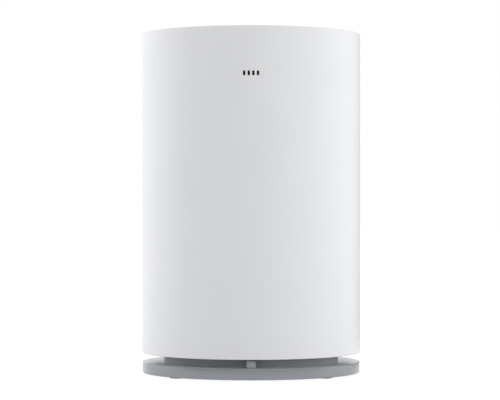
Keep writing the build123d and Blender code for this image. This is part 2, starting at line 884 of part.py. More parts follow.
def make_inlet_ring():
    """Flared ring that leads air from the filter's core into the fan."""
    bend = fan_deck_top + inlet_ring_curve
    outer = CenterArc((flare_radius, bend), inlet_ring_curve, 180, 90)
    inner = CenterArc((flare_radius, bend), inlet_ring_curve - inlet_ring_wall, 180, 90)
    rim = flare_radius + inlet_ring_flange
    top = fan_deck_top + inlet_ring_wall
    edges = [
        outer,
        Line(outer @ 1, (rim, fan_deck_top)),
        Line((rim, fan_deck_top), (rim, top)),
        Line((rim, top), inner @ 1),
        inner,
        Line(inner @ 0, (throat_out, throat_top)),
        Line((throat_out, throat_top), (throat_in, throat_top)),
        Line((throat_in, throat_top), outer @ 0),
    ]
    ring = revolve(Plane.XZ * make_face(edges), Axis.Z)
    for at in inlet_screw_places:
        ring -= screw_hole(m3, at, fan_deck_top, top)
    return ring


def ear(at, bottom, top):
    """Screw ear on the outside of the duct."""
    angle = degrees(atan2(at[1], at[0]))
    root = block((duct_radius, hypot(*at)), (-duct_ear_radius, duct_ear_radius), (bottom, top))
    return Rot(0, 0, angle) * root + round_block(duct_ear_radius, bottom, top, at)


def make_fan_duct():
    """Round duct round the impeller, with ears at both ends and ledges for the diffuser."""
    duct = round_ring(duct_out, duct_radius, fan_deck_top, deck_under)
    for at in ear_places:
        duct += ear(at, fan_deck_top, fan_deck_top + duct_ear_height)
        duct += ear(at, deck_under - duct_ear_height, deck_under)
    for angle in ledge_angles:
        duct += Rot(0, 0, angle) * block(
            (duct_radius - ledge_reach, duct_radius + duct_wall / 2),
            (-ledge_width / 2, ledge_width / 2),
            (hub_bottom - ledge_height, hub_bottom),
        )
    for at in ear_places:
        duct -= screw_hole(m3, at, fan_deck_top, fan_deck_top + duct_ear_height)
        duct -= screw_hole(m3, at, deck_under - duct_ear_height, deck_under)
    return duct


def fan_screws():
    """Screws of the inlet ring and of the duct, into the fan deck and the top deck."""
    bite = fan_deck_thickness + inlet_ring_wall
    ring = [screw(m3, at, fan_deck_top + inlet_ring_wall, bite, False) for at in inlet_screw_places]
    low_seat = fan_deck_top + duct_ear_height
    low = [screw(m3, at, low_seat, duct_ear_height + fan_deck_thickness, False) for at in ear_places]
    ear_low = deck_under - duct_ear_height
    high = [screw(m3, at, ear_low, duct_ear_height + deck_plate / 2, True) for at in ear_places]
    return ring + low + high


def curved_strip(inner, outer, sweep_angle, bow, thickness):
    """Flat outline of a curved blade from one radius to another, swept back by an angle."""
    start, end = polar(inner, 0), polar(outer, -sweep_angle)
    middle_x, middle_y = (start[0] + end[0]) / 2, (start[1] + end[1]) / 2
    length = hypot(end[0] - start[0], end[1] - start[1])
    across = ((start[1] - end[1]) / length, (end[0] - start[0]) / length)
    middle = (middle_x + bow * across[0], middle_y + bow * across[1])
    return SlotArc(ThreePointArc(start, middle, end), thickness)


def make_impeller():
    """Backward-curved impeller: eye ring, shroud, blades, back plate and a hub over the motor."""
    eye_top = impeller_bottom + eye_ring_height
    tip_z = eye_top + shroud_rise
    skin = impeller_skin
    shroud = turned(
        [
            (eye_radius, impeller_bottom),
            (eye_radius + skin, impeller_bottom),
            (eye_radius + skin, eye_top),
            (impeller_radius, tip_z),
            (impeller_radius, tip_z + skin),
            (eye_radius, eye_top + skin),
        ]
    )
    plate_under = impeller_top - backplate_thickness
    hub_in = rotor_radius + slip_gap
    hub_out = hub_in + hub_wall
    hub_low = rotor_bottom - hub_wall
    wheel = shroud + round_ring(impeller_radius, hub_in, plate_under, impeller_top)
    wheel += round_ring(hub_out, hub_in, hub_low, impeller_top)
    wheel += round_ring(hub_out, shaft_radius + thread_gap, hub_low, rotor_bottom)
    strip = curved_strip(eye_radius + skin, impeller_radius - skin, blade_sweep, blade_bow, blade_thickness)
    blade_top = plate_under + backplate_thickness / 2
    blade_room = turned(
        [
            (hub_out, blade_top),
            (hub_out, eye_top + skin / 2),
            (eye_radius, eye_top + skin / 2),
            (impeller_radius, tip_z + skin / 2),
            (impeller_radius, blade_top),
        ]
    )
    blade = Pos(0, 0, impeller_bottom) * extrude(strip, impeller_height)
    blade = blade & blade_room
    for n in range(blade_count):
        wheel += Rot(0, 0, 360 * n / blade_count) * blade
    return wheel


def make_rotor_cup():
    """Steel cup of the motor's rotor, open upwards."""
    cup = round_ring(rotor_radius, rotor_radius - rotor_wall, rotor_bottom, rotor_top)
    return cup + round_ring(rotor_radius, shaft_radius + thread_gap, rotor_bottom, rotor_bottom + rotor_floor)


def make_rotor_magnet():
    """Ring magnet inside the rotor cup."""
    outer = rotor_radius - rotor_wall - glue_gap
    return round_ring(outer, magnet_in, rotor_bottom + rotor_floor, rotor_top)


def make_motor_shaft():
    """Steel shaft from the nut below the hub to the upper bearing."""
    low = rotor_bottom - hub_wall - nut_height
    shaft = round_block(shaft_radius, low, hub_floor_top)
    return chamfer(shaft.edges().filter_by(GeomType.CIRCLE), shaft_chamfer)


def make_impeller_nut():
    """Nut that holds the impeller and the rotor on the shaft."""
    top = rotor_bottom - hub_wall
    nut = Pos(0, 0, top - nut_height) * extrude(RegularPolygon(nut_radius, nut_sides), nut_height)
    return nut - round_block(shaft_radius + thread_gap, top - nut_height, top)


bearing_tube_bottom = rotor_bottom + rotor_floor + slip_gap
stator_bottom = bearing_tube_bottom + bearing_height
stator_top = stator_bottom + stator_height
hub_of_stator = bearing_tube_out + bearing_tube_wall


def make_motor_stator():
    """Stack of steel sheets with a tooth for each winding."""
    face = Circle(hub_of_stator) - Circle(bearing_tube_out + glue_gap)
    tip_in = stator_radius - tooth_tip
    for n in range(stator_teeth):
        turn = Rot(0, 0, 360 * n / stator_teeth)
        length = tip_in - hub_of_stator + 2 * tooth_root
        face += turn * (Pos((tip_in + hub_of_stator) / 2, 0) * Rectangle(length, tooth_width))
    tips = Circle(stator_radius) - Circle(tip_in)
    for n in range(stator_teeth):
        turn = Rot(0, 0, 360 * (n + 0.5) / stator_teeth)
        tips -= turn * (Pos(stator_radius, 0) * Rectangle(3 * tooth_tip, tooth_spacing))
    face += tips
    return Pos(0, 0, stator_bottom) * extrude(face, stator_height)


def make_stator_windings():
    """Copper coil round each tooth of the stator."""
    start, end = hub_of_stator + slip_gap, stator_radius - tooth_tip - slip_gap
    half = tooth_width / 2 + glue_gap
    outer = half + winding_thickness
    low, high = stator_bottom - glue_gap, stator_top + glue_gap
    coil = block((start, end), (-outer, outer), (low - winding_rise, high + winding_rise))
    coil -= block((start, end), (-half, half), (low, high))
    return group([Rot(0, 0, 360 * n / stator_teeth) * coil for n in range(stator_teeth)])


def make_motor_bearings():
    """Bearings at the two ends of the motor's bearing tube."""
    places = (bearing_tube_bottom, hub_floor_top - bearing_height)
    hole = shaft_radius + running_gap
    return group([round_ring(bearing_radius - running_gap, hole, z, z + bearing_height) for z in places])


def make_diffuser():
    """Vaned ring with the motor's hub in its middle. The bearing tube hangs below its floor."""
    ring_out = duct_radius - slip_gap
    ring_in = ring_out - diffuser_ring_wall
    ring_top = pod_bottom
    body = round_ring(ring_out, ring_in, hub_bottom, ring_top)
    body += round_ring(hub_radius, hub_radius - hub_shell, hub_bottom, ring_top)
    body += round_ring(hub_radius, bearing_radius, hub_bottom, hub_floor_top)
    body += round_ring(bearing_tube_out, bearing_radius, bearing_tube_bottom, hub_floor_top)
    reach = ring_out - hub_radius + hub_shell
    middle = Pos((ring_out + hub_radius - hub_shell) / 2, 0, hub_bottom + vane_lift + vane_height / 2)
    vane = middle * Rot(vane_tilt, 0, 0) * Box(reach, vane_thickness, vane_height)
    zone = round_ring(ring_out - diffuser_ring_wall / 2, hub_radius - hub_shell / 2, hub_bottom, ring_top)
    vane = vane & zone
    for n in range(vane_count):
        body += Rot(0, 0, 360 * n / vane_count) * vane
    return body


def make_motor_board():
    """Ring-shaped drive board under the diffuser's floor."""
    low = hub_bottom - board_thickness
    return round_ring(motor_board_radius, bearing_tube_out + slip_gap, low, hub_bottom)


# Top

grille_radius = duct_radius - grille_ring_wall


def make_top_deck():
    """White deck inside the cover's mouth, with a raised rim for the seal and a round outlet."""
    deck = oval_block(top_deck_out, deck_under, deck_top)
    deck += oval_ring(top_deck_out, deck_rim_width, deck_under, deck_rim_top)
    deck -= round_block(grille_radius + slip_gap, deck_under, deck_top)
    for at in ear_places:
        deck -= screw_hole(m3, at, deck_under, deck_under + deck_plate / 2)
    for x in bracket_screw_x:
        deck -= screw_hole(m3, (x, bracket_screw_y), deck_under, deck_under + deck_plate / 2)
    return deck


def make_top_seal():
    """Foam seal on the deck's rim, which the cover's lip rests on."""
    return oval_ring(inset(top_deck_out, glue_gap), deck_rim_width - 2 * glue_gap, deck_rim_top, lip_under)


def make_outlet_grille():
    """Round outlet grille with curved fins."""
    low = deck_top - grille_depth
    high = deck_top + grille_flange_thickness
    flange_out = grille_radius + grille_flange
    ring_in = grille_radius - grille_ring_wall
    pod_out = pod_radius + slip_gap
    grille = round_ring(grille_radius, ring_in, low, high)
    grille += round_ring(flange_out, ring_in, deck_top, high)
    grille += round_ring(pod_out + grille_ring_wall, pod_out, low, high)
    middle = (ring_in + pod_out + grille_ring_wall) / 2
    fin_top = high - grille_fin_drop
    grille += round_ring(middle + grille_fin_thickness / 2, middle - grille_fin_thickness / 2, low, fin_top)
    start = pod_out + grille_ring_wall / 2
    end = ring_in + grille_ring_wall / 2
    strip = curved_strip(start, end, grille_fin_sweep, grille_fin_bow, grille_fin_thickness)
    fin = Pos(0, 0, low) * extrude(strip, fin_top - low)
    for n in range(grille_fin_count):
        grille += Rot(0, 0, 360 * n / grille_fin_count) * fin
    return grille


board_z = pod_bottom + pod_wall + control_board_height
key_places = {"power_button": -key_spacing / 2, "speed_button": key_spacing / 2}
key_seat = panel_under - key_gap
stem_low = board_z + board_thickness + switch_height + key_travel + key_gap


def make_pod_housing():
    """Cup in the middle of the grille that holds the control board."""
    cup = round_block(pod_radius, pod_bottom, panel_under)
    cup -= round_block(pod_radius - pod_wall, pod_bottom + pod_wall, panel_under)
    ledge_out, ledge_in = control_board_radius + pod_wall / 2, control_board_radius - pod_wall
    return cup + round_ring(ledge_out, ledge_in, pod_bottom + pod_wall, board_z)


def make_control_panel():
    """Dark panel on the pod with a hole for each key."""
    panel = round_block(pod_radius, panel_under, panel_top)
    panel = fillet(panel.edges().sort_by(Axis.Z)[-1], panel_edge_radius)
    for x in key_places.values():
        panel -= round_block(key_radius + key_gap, panel_under, panel_top, (x, 0))
    return panel


def make_control_board():
    """Round control board in the pod."""
    return round_block(control_board_radius, board_z, board_z + board_thickness)


def make_key_switches():
    """Tact switch under each key."""
    low = board_z + board_thickness
    half = switch_size / 2
    body = block((-half, half), (-half, half), (low, low + switch_height))
    return group([Pos(x, 0, 0) * body for x in key_places.values()])


def make_key(x):
    """Round key with a flange that keeps it under the panel and a stem above its switch."""
    top = panel_top + key_standing
    cap = round_block(key_radius, key_seat, top, (x, 0))
    cap = fillet(cap.edges().sort_by(Axis.Z)[-1], key_edge_radius)
    cap += round_block(key_radius + key_flange, key_seat - key_flange_thickness, key_seat, (x, 0))
    return cap + round_block(key_stem_radius, stem_low, key_seat, (x, 0))


# Indicator lamps

board_low = window_z - indicator_board_height / 2
board_high = window_z + indicator_board_height / 2
indicator_back = indicator_face + board_thickness
bracket_back = indicator_back + bracket_thickness
bracket_foot_half = indicator_board_width / 2 + bracket_ear
bracket_screw_x = (-bracket_foot_half + bracket_ear / 2, bracket_foot_half - bracket_ear / 2)
bracket_screw_y = indicator_back + bracket_foot / 2


def make_indicator_board():
    """Small upright board behind the windows."""
    half = indicator_board_width / 2
    return block((-half, half), (indicator_face, indicator_back), (board_low, board_high))


def make_indicator_leds():
    """One lamp on the board behind each window."""
    half = led_size / 2
    front = indicator_face - led_height
    lamp = block((-half, half), (front, indicator_face), (window_z - half, window_z + half))
    return group([Pos(x, 0, 0) * lamp for x in window_places()])


def make_indicator_bracket():
    """Angle plate that hangs the indicator board from the top deck."""
    half = indicator_board_width / 2
    plate = block((-half, half), (indicator_back, bracket_back), (board_low, deck_under))
    foot = block(
        (-bracket_foot_half, bracket_foot_half),
        (indicator_back, indicator_back + bracket_foot),
        (deck_under - bracket_thickness, deck_under),
    )
    bracket = plate + foot - round_block(duct_out + slip_gap, deck_under - bracket_thickness, deck_under)
    for x in bracket_screw_x:
        bracket -= screw_hole(m3, (x, bracket_screw_y), deck_under - bracket_thickness, deck_under)
    return bracket


def small_screws():
    """Screws of the power board and of the indicator bracket."""
    board_top = power_board_z + board_thickness
    power_length = board_thickness + power_board_standoff
    power = [screw(m3, at, board_top, power_length, False) for at in standoff_places]
    low = deck_under - bracket_thickness
    length = bracket_thickness + deck_plate / 2
    hanging = [screw(m3, (x, bracket_screw_y), low, length, True) for x in bracket_screw_x]
    return power + hanging


def make_frame_screws():
    """Every screw above the base."""
    return group(deck_screws() + fan_screws() + small_screws())


# Wiring

cable_x = -post_x
cable_low_z = power_board_z + board_thickness + cable_socket[2] / 2
cable_low_end = -power_board_width / 2
cable_high_z = fan_deck_top + connector_lift
connector_face = cable_x - cable_radius - connector_margin


def make_wiring_harness():
    """Sleeved cable from the power board up past the filter to the fan's connector."""
    route = FilletPolyline(
        (cable_low_end, 0, cable_low_z),
        (cable_x, 0, cable_low_z),
        (cable_x, 0, cable_high_z),
        radius=cable_bend,
    )
    profile = Plane(route @ 0, z_dir=route % 0) * Circle(cable_radius)
    cable = sweep(profile, path=route)
    print("cable volume over section times length", cable.volume / (pi * cable_radius**2 * route.length))
    return cable


def make_fan_connector():
    """Plug block on the duct's side that the cable enters from below."""
    low, high = cable_high_z, cable_high_z + connector_height
    half = connector_width / 2
    body = block((connector_face, -duct_radius), (-half, half), (low, high))
    return body - round_block(duct_out + glue_gap, low, high)


def make_cable_grommets():
    """Rubber rings where the cable passes through the decks."""
    rings = []
    hole = cable_radius + thread_gap
    for low, high in ((neck_top, lower_deck_top), (fan_deck_under, fan_deck_top)):
        ring = round_ring(cable_radius + grommet_wall - thread_gap, hole, low, high, (cable_x, 0))
        lip_out = cable_radius + grommet_wall + grommet_lip
        ring += round_ring(lip_out, hole, high, high + grommet_lip, (cable_x, 0))
        rings.append(ring)
    return group(rings)


def make_cable_clips():
    """Clips that tie the cable to the two posts beside it."""
    clips = []
    span = fan_deck_under - lower_deck_top
    for share in clip_levels:
        low = lower_deck_top + share * span - clip_height / 2
        high = low + clip_height
        half = clip_wall / 2
        bar = block((cable_x - half, cable_x + half), (-post_spread, post_spread), (low, high))
        for y in (-post_spread, post_spread):
            bar += round_block(post_radius + clip_wall, low, high, (cable_x, y))
        bar += round_block(cable_radius + clip_wall, low, high, (cable_x, 0))
        for y in (-post_spread, post_spread):
            bar -= round_block(post_radius + thread_gap, low, high, (cable_x, y))
        clips.append(bar - round_block(cable_radius + thread_gap, low, high, (cable_x, 0)))
    return group(clips)


def build_all():
    """Every node by name."""
    nodes = {
        "cover_shell": make_cover_shell(),
        "indicator_lens": make_indicator_lens(),
        "catch_keeper": make_catch_keeper(),
        "base_shell": make_base_shell(),
        "bottom_plate": make_bottom_plate(),
        "base_screws": make_base_screws(),
        "neck_housing": make_neck_housing(),
        "power_inlet": make_power_inlet(),
        "inlet_pins": make_inlet_pins(),
        "power_board": make_power_board(),
        "power_board_parts": make_power_board_parts(),
        "intake_screen": make_intake_screen(),
        "release_tab": make_release_tab(),
        "tab_stop_ring": make_tab_stop_ring(),
        "tab_spring": make_tab_spring(),
        "lower_deck": make_lower_deck(),
        "fan_deck": make_fan_deck(),
        "filter_bottom_gasket": make_gasket(lower_deck_top),
        "filter_bottom_cap": make_filter_bottom_cap(),
        "filter_media": make_filter_media(),
        "carbon_sleeve": make_carbon_sleeve(),
        "filter_top_cap": make_filter_top_cap(),
        "filter_top_gasket": make_gasket(cap_top),
        "inlet_ring": make_inlet_ring(),
        "fan_duct": make_fan_duct(),
        "impeller": make_impeller(),
        "rotor_cup": make_rotor_cup(),
        "rotor_magnet": make_rotor_magnet(),
        "motor_shaft": make_motor_shaft(),
        "impeller_nut": make_impeller_nut(),
        "motor_stator": make_motor_stator(),
        "stator_windings": make_stator_windings(),
        "motor_bearings": make_motor_bearings(),
        "motor_board": make_motor_board(),
        "diffuser": make_diffuser(),
        "top_deck": make_top_deck(),
        "top_seal": make_top_seal(),
        "outlet_grille": make_outlet_grille(),
        "pod_housing": make_pod_housing(),
        "control_panel": make_control_panel(),
        "control_board": make_control_board(),
        "key_switches": make_key_switches(),
        "indicator_board": make_indicator_board(),
        "indicator_leds": make_indicator_leds(),
        "indicator_bracket": make_indicator_bracket(),
        "frame_screws": make_frame_screws(),
        "wiring_harness": make_wiring_harness(),
        "fan_connector": make_fan_connector(),
        "cable_grommets": make_cable_grommets(),
        "cable_clips": make_cable_clips(),
    }
    for name, x in key_places.items():
        nodes[name] = make_key(x)
    for n, at in enumerate(foot_places):
        nodes[f"foot_{n + 1}"] = make_foot(at)
    for n, at in enumerate(post_places):
        nodes[f"post_{n + 1}"] = make_post(at)
    return nodes


os.makedirs("parts", exist_ok=True)
for node_name, shape in build_all().items():
    export_step(shape, f"parts/{node_name}.step")
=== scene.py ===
"""Looks of an oval room air purifier, dressed over its fixed frame. Lengths are in metres."""

import math
from functools import partial

import bmesh
import bpy
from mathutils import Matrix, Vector


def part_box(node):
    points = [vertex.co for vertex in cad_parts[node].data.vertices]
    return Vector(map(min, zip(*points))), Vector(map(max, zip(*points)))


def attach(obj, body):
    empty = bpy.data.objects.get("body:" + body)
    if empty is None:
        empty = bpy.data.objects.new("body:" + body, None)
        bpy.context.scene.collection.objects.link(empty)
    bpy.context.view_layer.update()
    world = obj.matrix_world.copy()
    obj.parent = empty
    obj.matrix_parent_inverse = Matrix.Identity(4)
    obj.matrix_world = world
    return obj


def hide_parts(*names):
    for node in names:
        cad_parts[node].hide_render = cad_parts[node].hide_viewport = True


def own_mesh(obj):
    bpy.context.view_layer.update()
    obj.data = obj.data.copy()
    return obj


bl_info = {
    "name": "Oval Air Purifier",
    "version": (1, 0, 0),
    "blender": (4, 5, 0),
    "location": "3D View > Sidebar > Purifier",
    "description": "Dresses the frame of an oval air purifier with its shells, foam, filter and finishes",
    "category": "Object",
}

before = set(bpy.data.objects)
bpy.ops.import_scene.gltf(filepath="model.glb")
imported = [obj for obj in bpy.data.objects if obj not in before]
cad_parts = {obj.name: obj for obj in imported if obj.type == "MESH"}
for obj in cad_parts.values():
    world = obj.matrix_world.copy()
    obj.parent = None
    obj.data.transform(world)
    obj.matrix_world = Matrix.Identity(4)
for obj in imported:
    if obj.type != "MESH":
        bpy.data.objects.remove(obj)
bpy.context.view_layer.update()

# Places read from the frame
cover_low, cover_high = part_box("cover_shell")
base_low, base_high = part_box("base_shell")
lens_low, lens_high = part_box("indicator_lens")
plate_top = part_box("bottom_plate")[1].z
tab_low, tab_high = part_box("release_tab")
stop_low, stop_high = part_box("tab_stop_ring")
spring_low, spring_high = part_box("tab_spring")
pleat_low, pleat_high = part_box("filter_media")

# Steps that curved meshes are drawn with
ROUND_STEPS = 200
FILLET_STEPS = 5
BEVEL_STEPS = 3
POST_STEPS = 24
STEM_STEPS = 48
WIRE_STEPS = 12
TURN_STEPS = 28
PLEAT_STEPS = 8
LENGTH_STEPS = 1440
FOAM_STEPS = 24
MARK_STEPS = 40
MARK_END_STEPS = 8
CARD_STEPS = 24

# Folds sharper than this stay sharp, and places nearer than this are the same
SMOOTH_ANGLE = math.radians(32)
TINY = 1e-6


def number(name, description, default, **limits):
    """A number that the user can change."""
    return bpy.props.FloatProperty(name=name, description=description, default=default, **limits)


def colour(name, description, default):
    """A colour that the user can change."""
    return bpy.props.FloatVectorProperty(
        name=name, description=description, default=default, size=3, subtype="COLOR", min=0.0, max=1.0
    )


# Kinds of number: lengths, shares of one, and strengths
length = partial(number, unit="LENGTH", precision=5)
share = partial(number, subtype="FACTOR", min=0.0, max=1.0)
level = partial(number, min=0.0)


class PurifierSizes(bpy.types.PropertyGroup):
    """Sizes of the pieces that are modelled over the frame"""

    cover_wall: length("Cover wall", "Thickness of the cover's wall and lip", 0.003)
    cover_lip: length("Cover lip", "How far the lip at the top turns in from the wall", 0.009)
    cover_edge: length("Cover edge", "Radius of the cover's outer edges", 0.001)
    mouth_edge: length("Mouth edge", "Radius of the edge round the cover's mouth", 0.0012)
    window_width: length("Window width", "Width of one indicator window", 0.0034)
    window_height: length("Window height", "Height of one indicator window", 0.0073)
    window_pitch: length("Window pitch", "Distance from one window to the next", 0.00645)
    window_edge: length("Window edge", "Radius of the edge round each window", 0.0003)
    base_wall: length("Base wall", "Thickness of the base's side and roof", 0.003)
    base_edge: length("Base edge", "Radius of the base's edges", 0.0008)
    tab_plate: length("Tab plate", "Thickness of the release tab's plate", 0.004)
    tab_nose: length("Tab nose", "Height of the nose at the top of the release tab", 0.0036)
    pad_height: length("Pad height", "Height of the release tab's pad", 0.0098)
    pad_standing: length("Pad standing", "How far the pad stands out from the lever", 0.0012)
    tab_corner: length("Tab corner", "Radius of the release tab's corners", 0.0015)
    tab_edge: length("Tab edge", "Radius of the release tab's other edges", 0.0005)
    stem_radius: length("Stem radius", "Radius of the release tab's stem", 0.003)
    stem_groove: length("Stem groove", "Depth of the groove that holds the stop ring", 0.0007)
    wire_radius: length("Wire radius", "Radius of the return spring's wire", 0.0004)
    pleat_depth: length("Pleat depth", "Depth of the filter's pleats", 0.02)
    paper_thickness: length("Paper thickness", "Thickness of the pleated paper", 0.0008)
    bead_radius: length("Bead radius", "Radius of the glue beads that space the pleats", 0.0011)
    mark_height: length("Mark height", "How far a key's mark stands above the key", 0.00012)
    mark_width: length("Mark width", "Width of the strokes of a key's mark", 0.0008)
    mark_radius: length("Mark radius", "Radius of the ring of the power key's mark", 0.0034)


class PurifierFinishes(bpy.types.PropertyGroup):
    """Colours and gloss of the finishes"""

    cover_white: colour("Cover white", "Satin white of the cover", (0.787, 0.795, 0.812))
    deck_white: colour("Deck white", "Satin white of the top deck and grille", (0.76, 0.766, 0.775))
    base_metal: colour("Base metal", "Brushed metal of the base", (0.253, 0.269, 0.289))
    # Painted light: the top's tone is much lighter than the side's metal, for the light that falls on it
    # from above
    top_metal: colour("Base top", "Brushed metal of the base's top", (0.69, 0.73, 0.78))
    neck_grey: colour("Neck grey", "Dark grey of the neck", (0.375, 0.385, 0.417))
    screen_grey: colour("Screen grey", "Grey of the intake screen", (0.1, 0.101, 0.103))
    tab_grey: colour("Tab grey", "Mid grey of the release tab", (0.424, 0.432, 0.458))
    frame_grey: colour("Frame grey", "Light grey of the inner frame", (0.5, 0.505, 0.512))
    lens_black: colour("Lens black", "Smoked black of the windows", (0.009, 0.009, 0.01))
    cover_gloss: share("Cover roughness", "Roughness of the cover", 0.42)
    base_metallic: share("Base metallic", "How metallic the satin surface of the base is", 0.4)
    base_coat: share("Base coat", "Strength of the clear coat on the base", 0.9)
    base_gloss: share("Base roughness", "Roughness of the base's brushed side", 0.32)
    top_metallic: share("Base top metallic", "How metallic the top of the base is", 0.24)
    top_gloss: share("Base top roughness", "Roughness of the base's brushed top", 0.25)


class PurifierStage(bpy.types.PropertyGroup):
    """Camera and studio light"""

    camera_distance: length("Camera distance", "From the object's axis to the camera", 1.953)
    camera_height: length("Camera height", "Height of the camera above the floor", 0.2386)
    focal_length: level("Focal length", "Focal length in millimetres on a 36 mm sensor", 95.04)
    shift_x: number("Shift X", "Sideways shift of the view", -0.0021)
    shift_y: number("Shift Y", "Upward shift of the view", 0.0238)
    ambient: level("Ambient", "Strength of the room's light", 0.985)
    left_light: level("Left light", "Power of the left soft box in watts", 12.4)
    right_light: level("Right light", "Power of the right soft box in watts", 11.4)
    front_card: share("Front card", "Grey of the card behind the camera", 0.25)
    side_card: share("Side card", "Grey of the card behind the object at the right", 0.05)


# Materials

# Radians that the wave texture counts to one unit of its place
WAVE_RATE = 20.0


def add_node(owner, kind, inputs=None, **settings):
    """Node in a material or a world, whose inputs are values, or other nodes' outputs to link."""
    node = owner.node_tree.nodes.new(kind)
    for name, value in settings.items():
        setattr(node, name, value)
    for name, value in (inputs or {}).items():
        if isinstance(value, bpy.types.NodeSocket):
            owner.node_tree.links.new(value, node.inputs[name])
        else:
            node.inputs[name].default_value = value
    return node


def new_material(name, **sockets):
    """Material with its main shader, whose constant sockets are set straight away."""
    material = bpy.data.materials.new(name)
    material.use_nodes = True
    shader = material.node_tree.nodes["Principled BSDF"]
    for socket, value in sockets.items():
        shader.inputs[socket.replace("_", " ").title().replace("Ior", "IOR")].default_value = value
    return material, shader


def link(material, output, shader, socket):
    """Links an output to one of the shader's sockets."""
    material.node_tree.links.new(output, shader.inputs[socket])


def place_on_piece(material, stretch=(1.0, 1.0, 1.0), source="Object"):
    """Place on the piece in metres, stretched along its axes."""
    where = add_node(material, "ShaderNodeTexCoord")
    mapping = add_node(material, "ShaderNodeMapping", {"Vector": where.outputs[source], "Scale": stretch})
    return mapping.outputs["Vector"]


def cloud(material, place, size, detail=2.0):
    """Soft noise with patches of about the given size."""
    noise = add_node(
        material, "ShaderNodeTexNoise", {"Vector": place, "Scale": 1.0 / size, "Detail": detail}
    )
    return noise.outputs["Fac"]


def shaded(tone, factor):
    """A tone made lighter or darker."""
    return tuple(min(1.0, c * factor) for c in tone)


def tint(material, shader, amount, first, second, start=0.3, end=0.7):
    """Colours the surface from one tone to another as an amount goes from start to end."""
    ramp = add_node(material, "ShaderNodeValToRGB", {"Fac": amount})
    low, high = ramp.color_ramp.elements
    low.position, high.position = start, end
    low.color = (*first, 1.0)
    high.color = (*second, 1.0)
    link(material, ramp.outputs["Color"], shader, "Base Color")


def vary_gloss(material, shader, amount, roughness, give):
    """Lets the roughness go either side of its middle value with an amount."""
    limits = {"Value": amount, "To Min": roughness - give, "To Max": roughness + give}
    node = add_node(material, "ShaderNodeMapRange", limits)
    link(material, node.outputs["Result"], shader, "Roughness")


def relief(material, shader, height, depth):
    """Raises the surface by a height pattern of the given depth."""
    bump = add_node(material, "ShaderNodeBump", {"Height": height, "Distance": depth})
    link(material, bump.outputs["Normal"], shader, "Normal")


def moulded(name, tone, roughness, grain, depth, drift=0.03, **sockets):
    """Moulded plastic or rubber with a fine grain, whose colour and gloss drift a little."""
    material, shader = new_material(name, **sockets)
    place = place_on_piece(material)
    patches = cloud(material, place, size=0.06)
    tint(material, shader, patches, shaded(tone, 1.0 - drift), shaded(tone, 1.0 + drift))
    vary_gloss(material, shader, patches, roughness, give=0.05)
    relief(material, shader, cloud(material, place, grain), depth)
    return material


def streaked(name, tone, roughness, stretch, depth, source="Object", contrast=0.12, **sockets):
    """Metal brushed in one direction. The stretch gives the streaks per metre along each axis."""
    material, shader = new_material(name, **{"metallic": 1.0, **sockets})
    streaks = cloud(material, place_on_piece(material, stretch, source), size=1.0, detail=3.0)
    tint(material, shader, streaks, shaded(tone, 1.0 - contrast), shaded(tone, 1.0 + contrast))
    vary_gloss(material, shader, streaks, roughness, give=0.08)
    relief(material, shader, streaks, depth)
    return material


def celled(name, tone, dark, roughness, size, depth):
    """Open foam or granules: small rounded cells."""
    material, shader = new_material(name)
    inputs = {"Vector": place_on_piece(material), "Scale": 1.0 / size}
    pores = add_node(material, "ShaderNodeTexVoronoi", inputs).outputs["Distance"]
    tint(material, shader, pores, tone, dark, start=0.2, end=0.8)
    vary_gloss(material, shader, pores, roughness, give=0.05)
    relief(material, shader, pores, depth)
    return material


def layered(name, tone, roughness, size, depth, direction, **sockets):
    """Stacked sheets, wound wire or a woven sleeve: even bands across one axis, with painted shade in the
    gaps and a painted highlight on the crowns.
    """
    material, shader = new_material(name, **sockets)
    place = place_on_piece(material)
    inputs = {"Vector": place, "Scale": math.tau / size / WAVE_RATE, "Distortion": 0.0}
    rows = add_node(material, "ShaderNodeTexWave", inputs, bands_direction=direction).outputs["Fac"]
    # Painted shade in the gaps between layers and painted highlight on their crowns
    tint(material, shader, rows, shaded(tone, factor=0.72), shaded(tone, factor=1.08))
    vary_gloss(material, shader, cloud(material, place, size=0.01), roughness, give=0.06)
    relief(material, shader, rows, depth)
    return material


def pleated_paper():
    """White filter paper with fine fibres that run along the pleats."""
    material, shader = new_material("filter_paper", sheen_weight=0.15)
    place = place_on_piece(material, stretch=(1.0, 1.0, 0.25))
    fibres = cloud(material, place, size=0.0009, detail=6.0)
    tint(material, shader, fibres, first=(0.72, 0.72, 0.69), second=(0.84, 0.84, 0.82))
    vary_gloss(material, shader, fibres, roughness=0.89, give=0.07)
    relief(material, shader, fibres, depth=0.00012)
    return material


def circuit_green():
    """Green board with lighter traces under its mask."""
    material, shader = new_material("board_green")
    bricks = add_node(
        material,
        "ShaderNodeTexBrick",
        {
            "Vector": place_on_piece(material),
            "Color1": (0.012, 0.07, 0.028, 1.0),
            "Color2": (0.016, 0.085, 0.034, 1.0),
            "Mortar": (0.03, 0.14, 0.06, 1.0),
            "Scale": 60.0,
            "Mortar Size": 0.03,
        },
    )
    link(material, bricks.outputs["Color"], shader, "Base Color")
    vary_gloss(material, shader, bricks.outputs["Fac"], roughness=0.37, give=0.05)
    relief(material, shader, bricks.outputs["Fac"], depth=0.00004)
    return material


# Meshes


def finish_mesh(name, mesh_data, material, edge=0.0):
    """Object from mesh data, smooth except over sharp folds, with its edges rounded if asked."""
    bmesh.ops.recalc_face_normals(mesh_data, faces=mesh_data.faces)
    mesh = bpy.data.meshes.new(name)
    mesh_data.to_mesh(mesh)
    mesh_data.free()
    mesh.shade_smooth()
    mesh.set_sharp_from_angle(angle=SMOOTH_ANGLE)
    mesh.materials.append(material)
    piece = bpy.data.objects.new(name, mesh)
    bpy.context.scene.collection.objects.link(piece)
    if edge:
        bevel = piece.modifiers.new("Rounded edges", "BEVEL")
        bevel.width = edge
        bevel.segments = BEVEL_STEPS
        bevel.limit_method = "ANGLE"
        bevel.angle_limit = SMOOTH_ANGLE
        bevel.harden_normals = True
    return piece


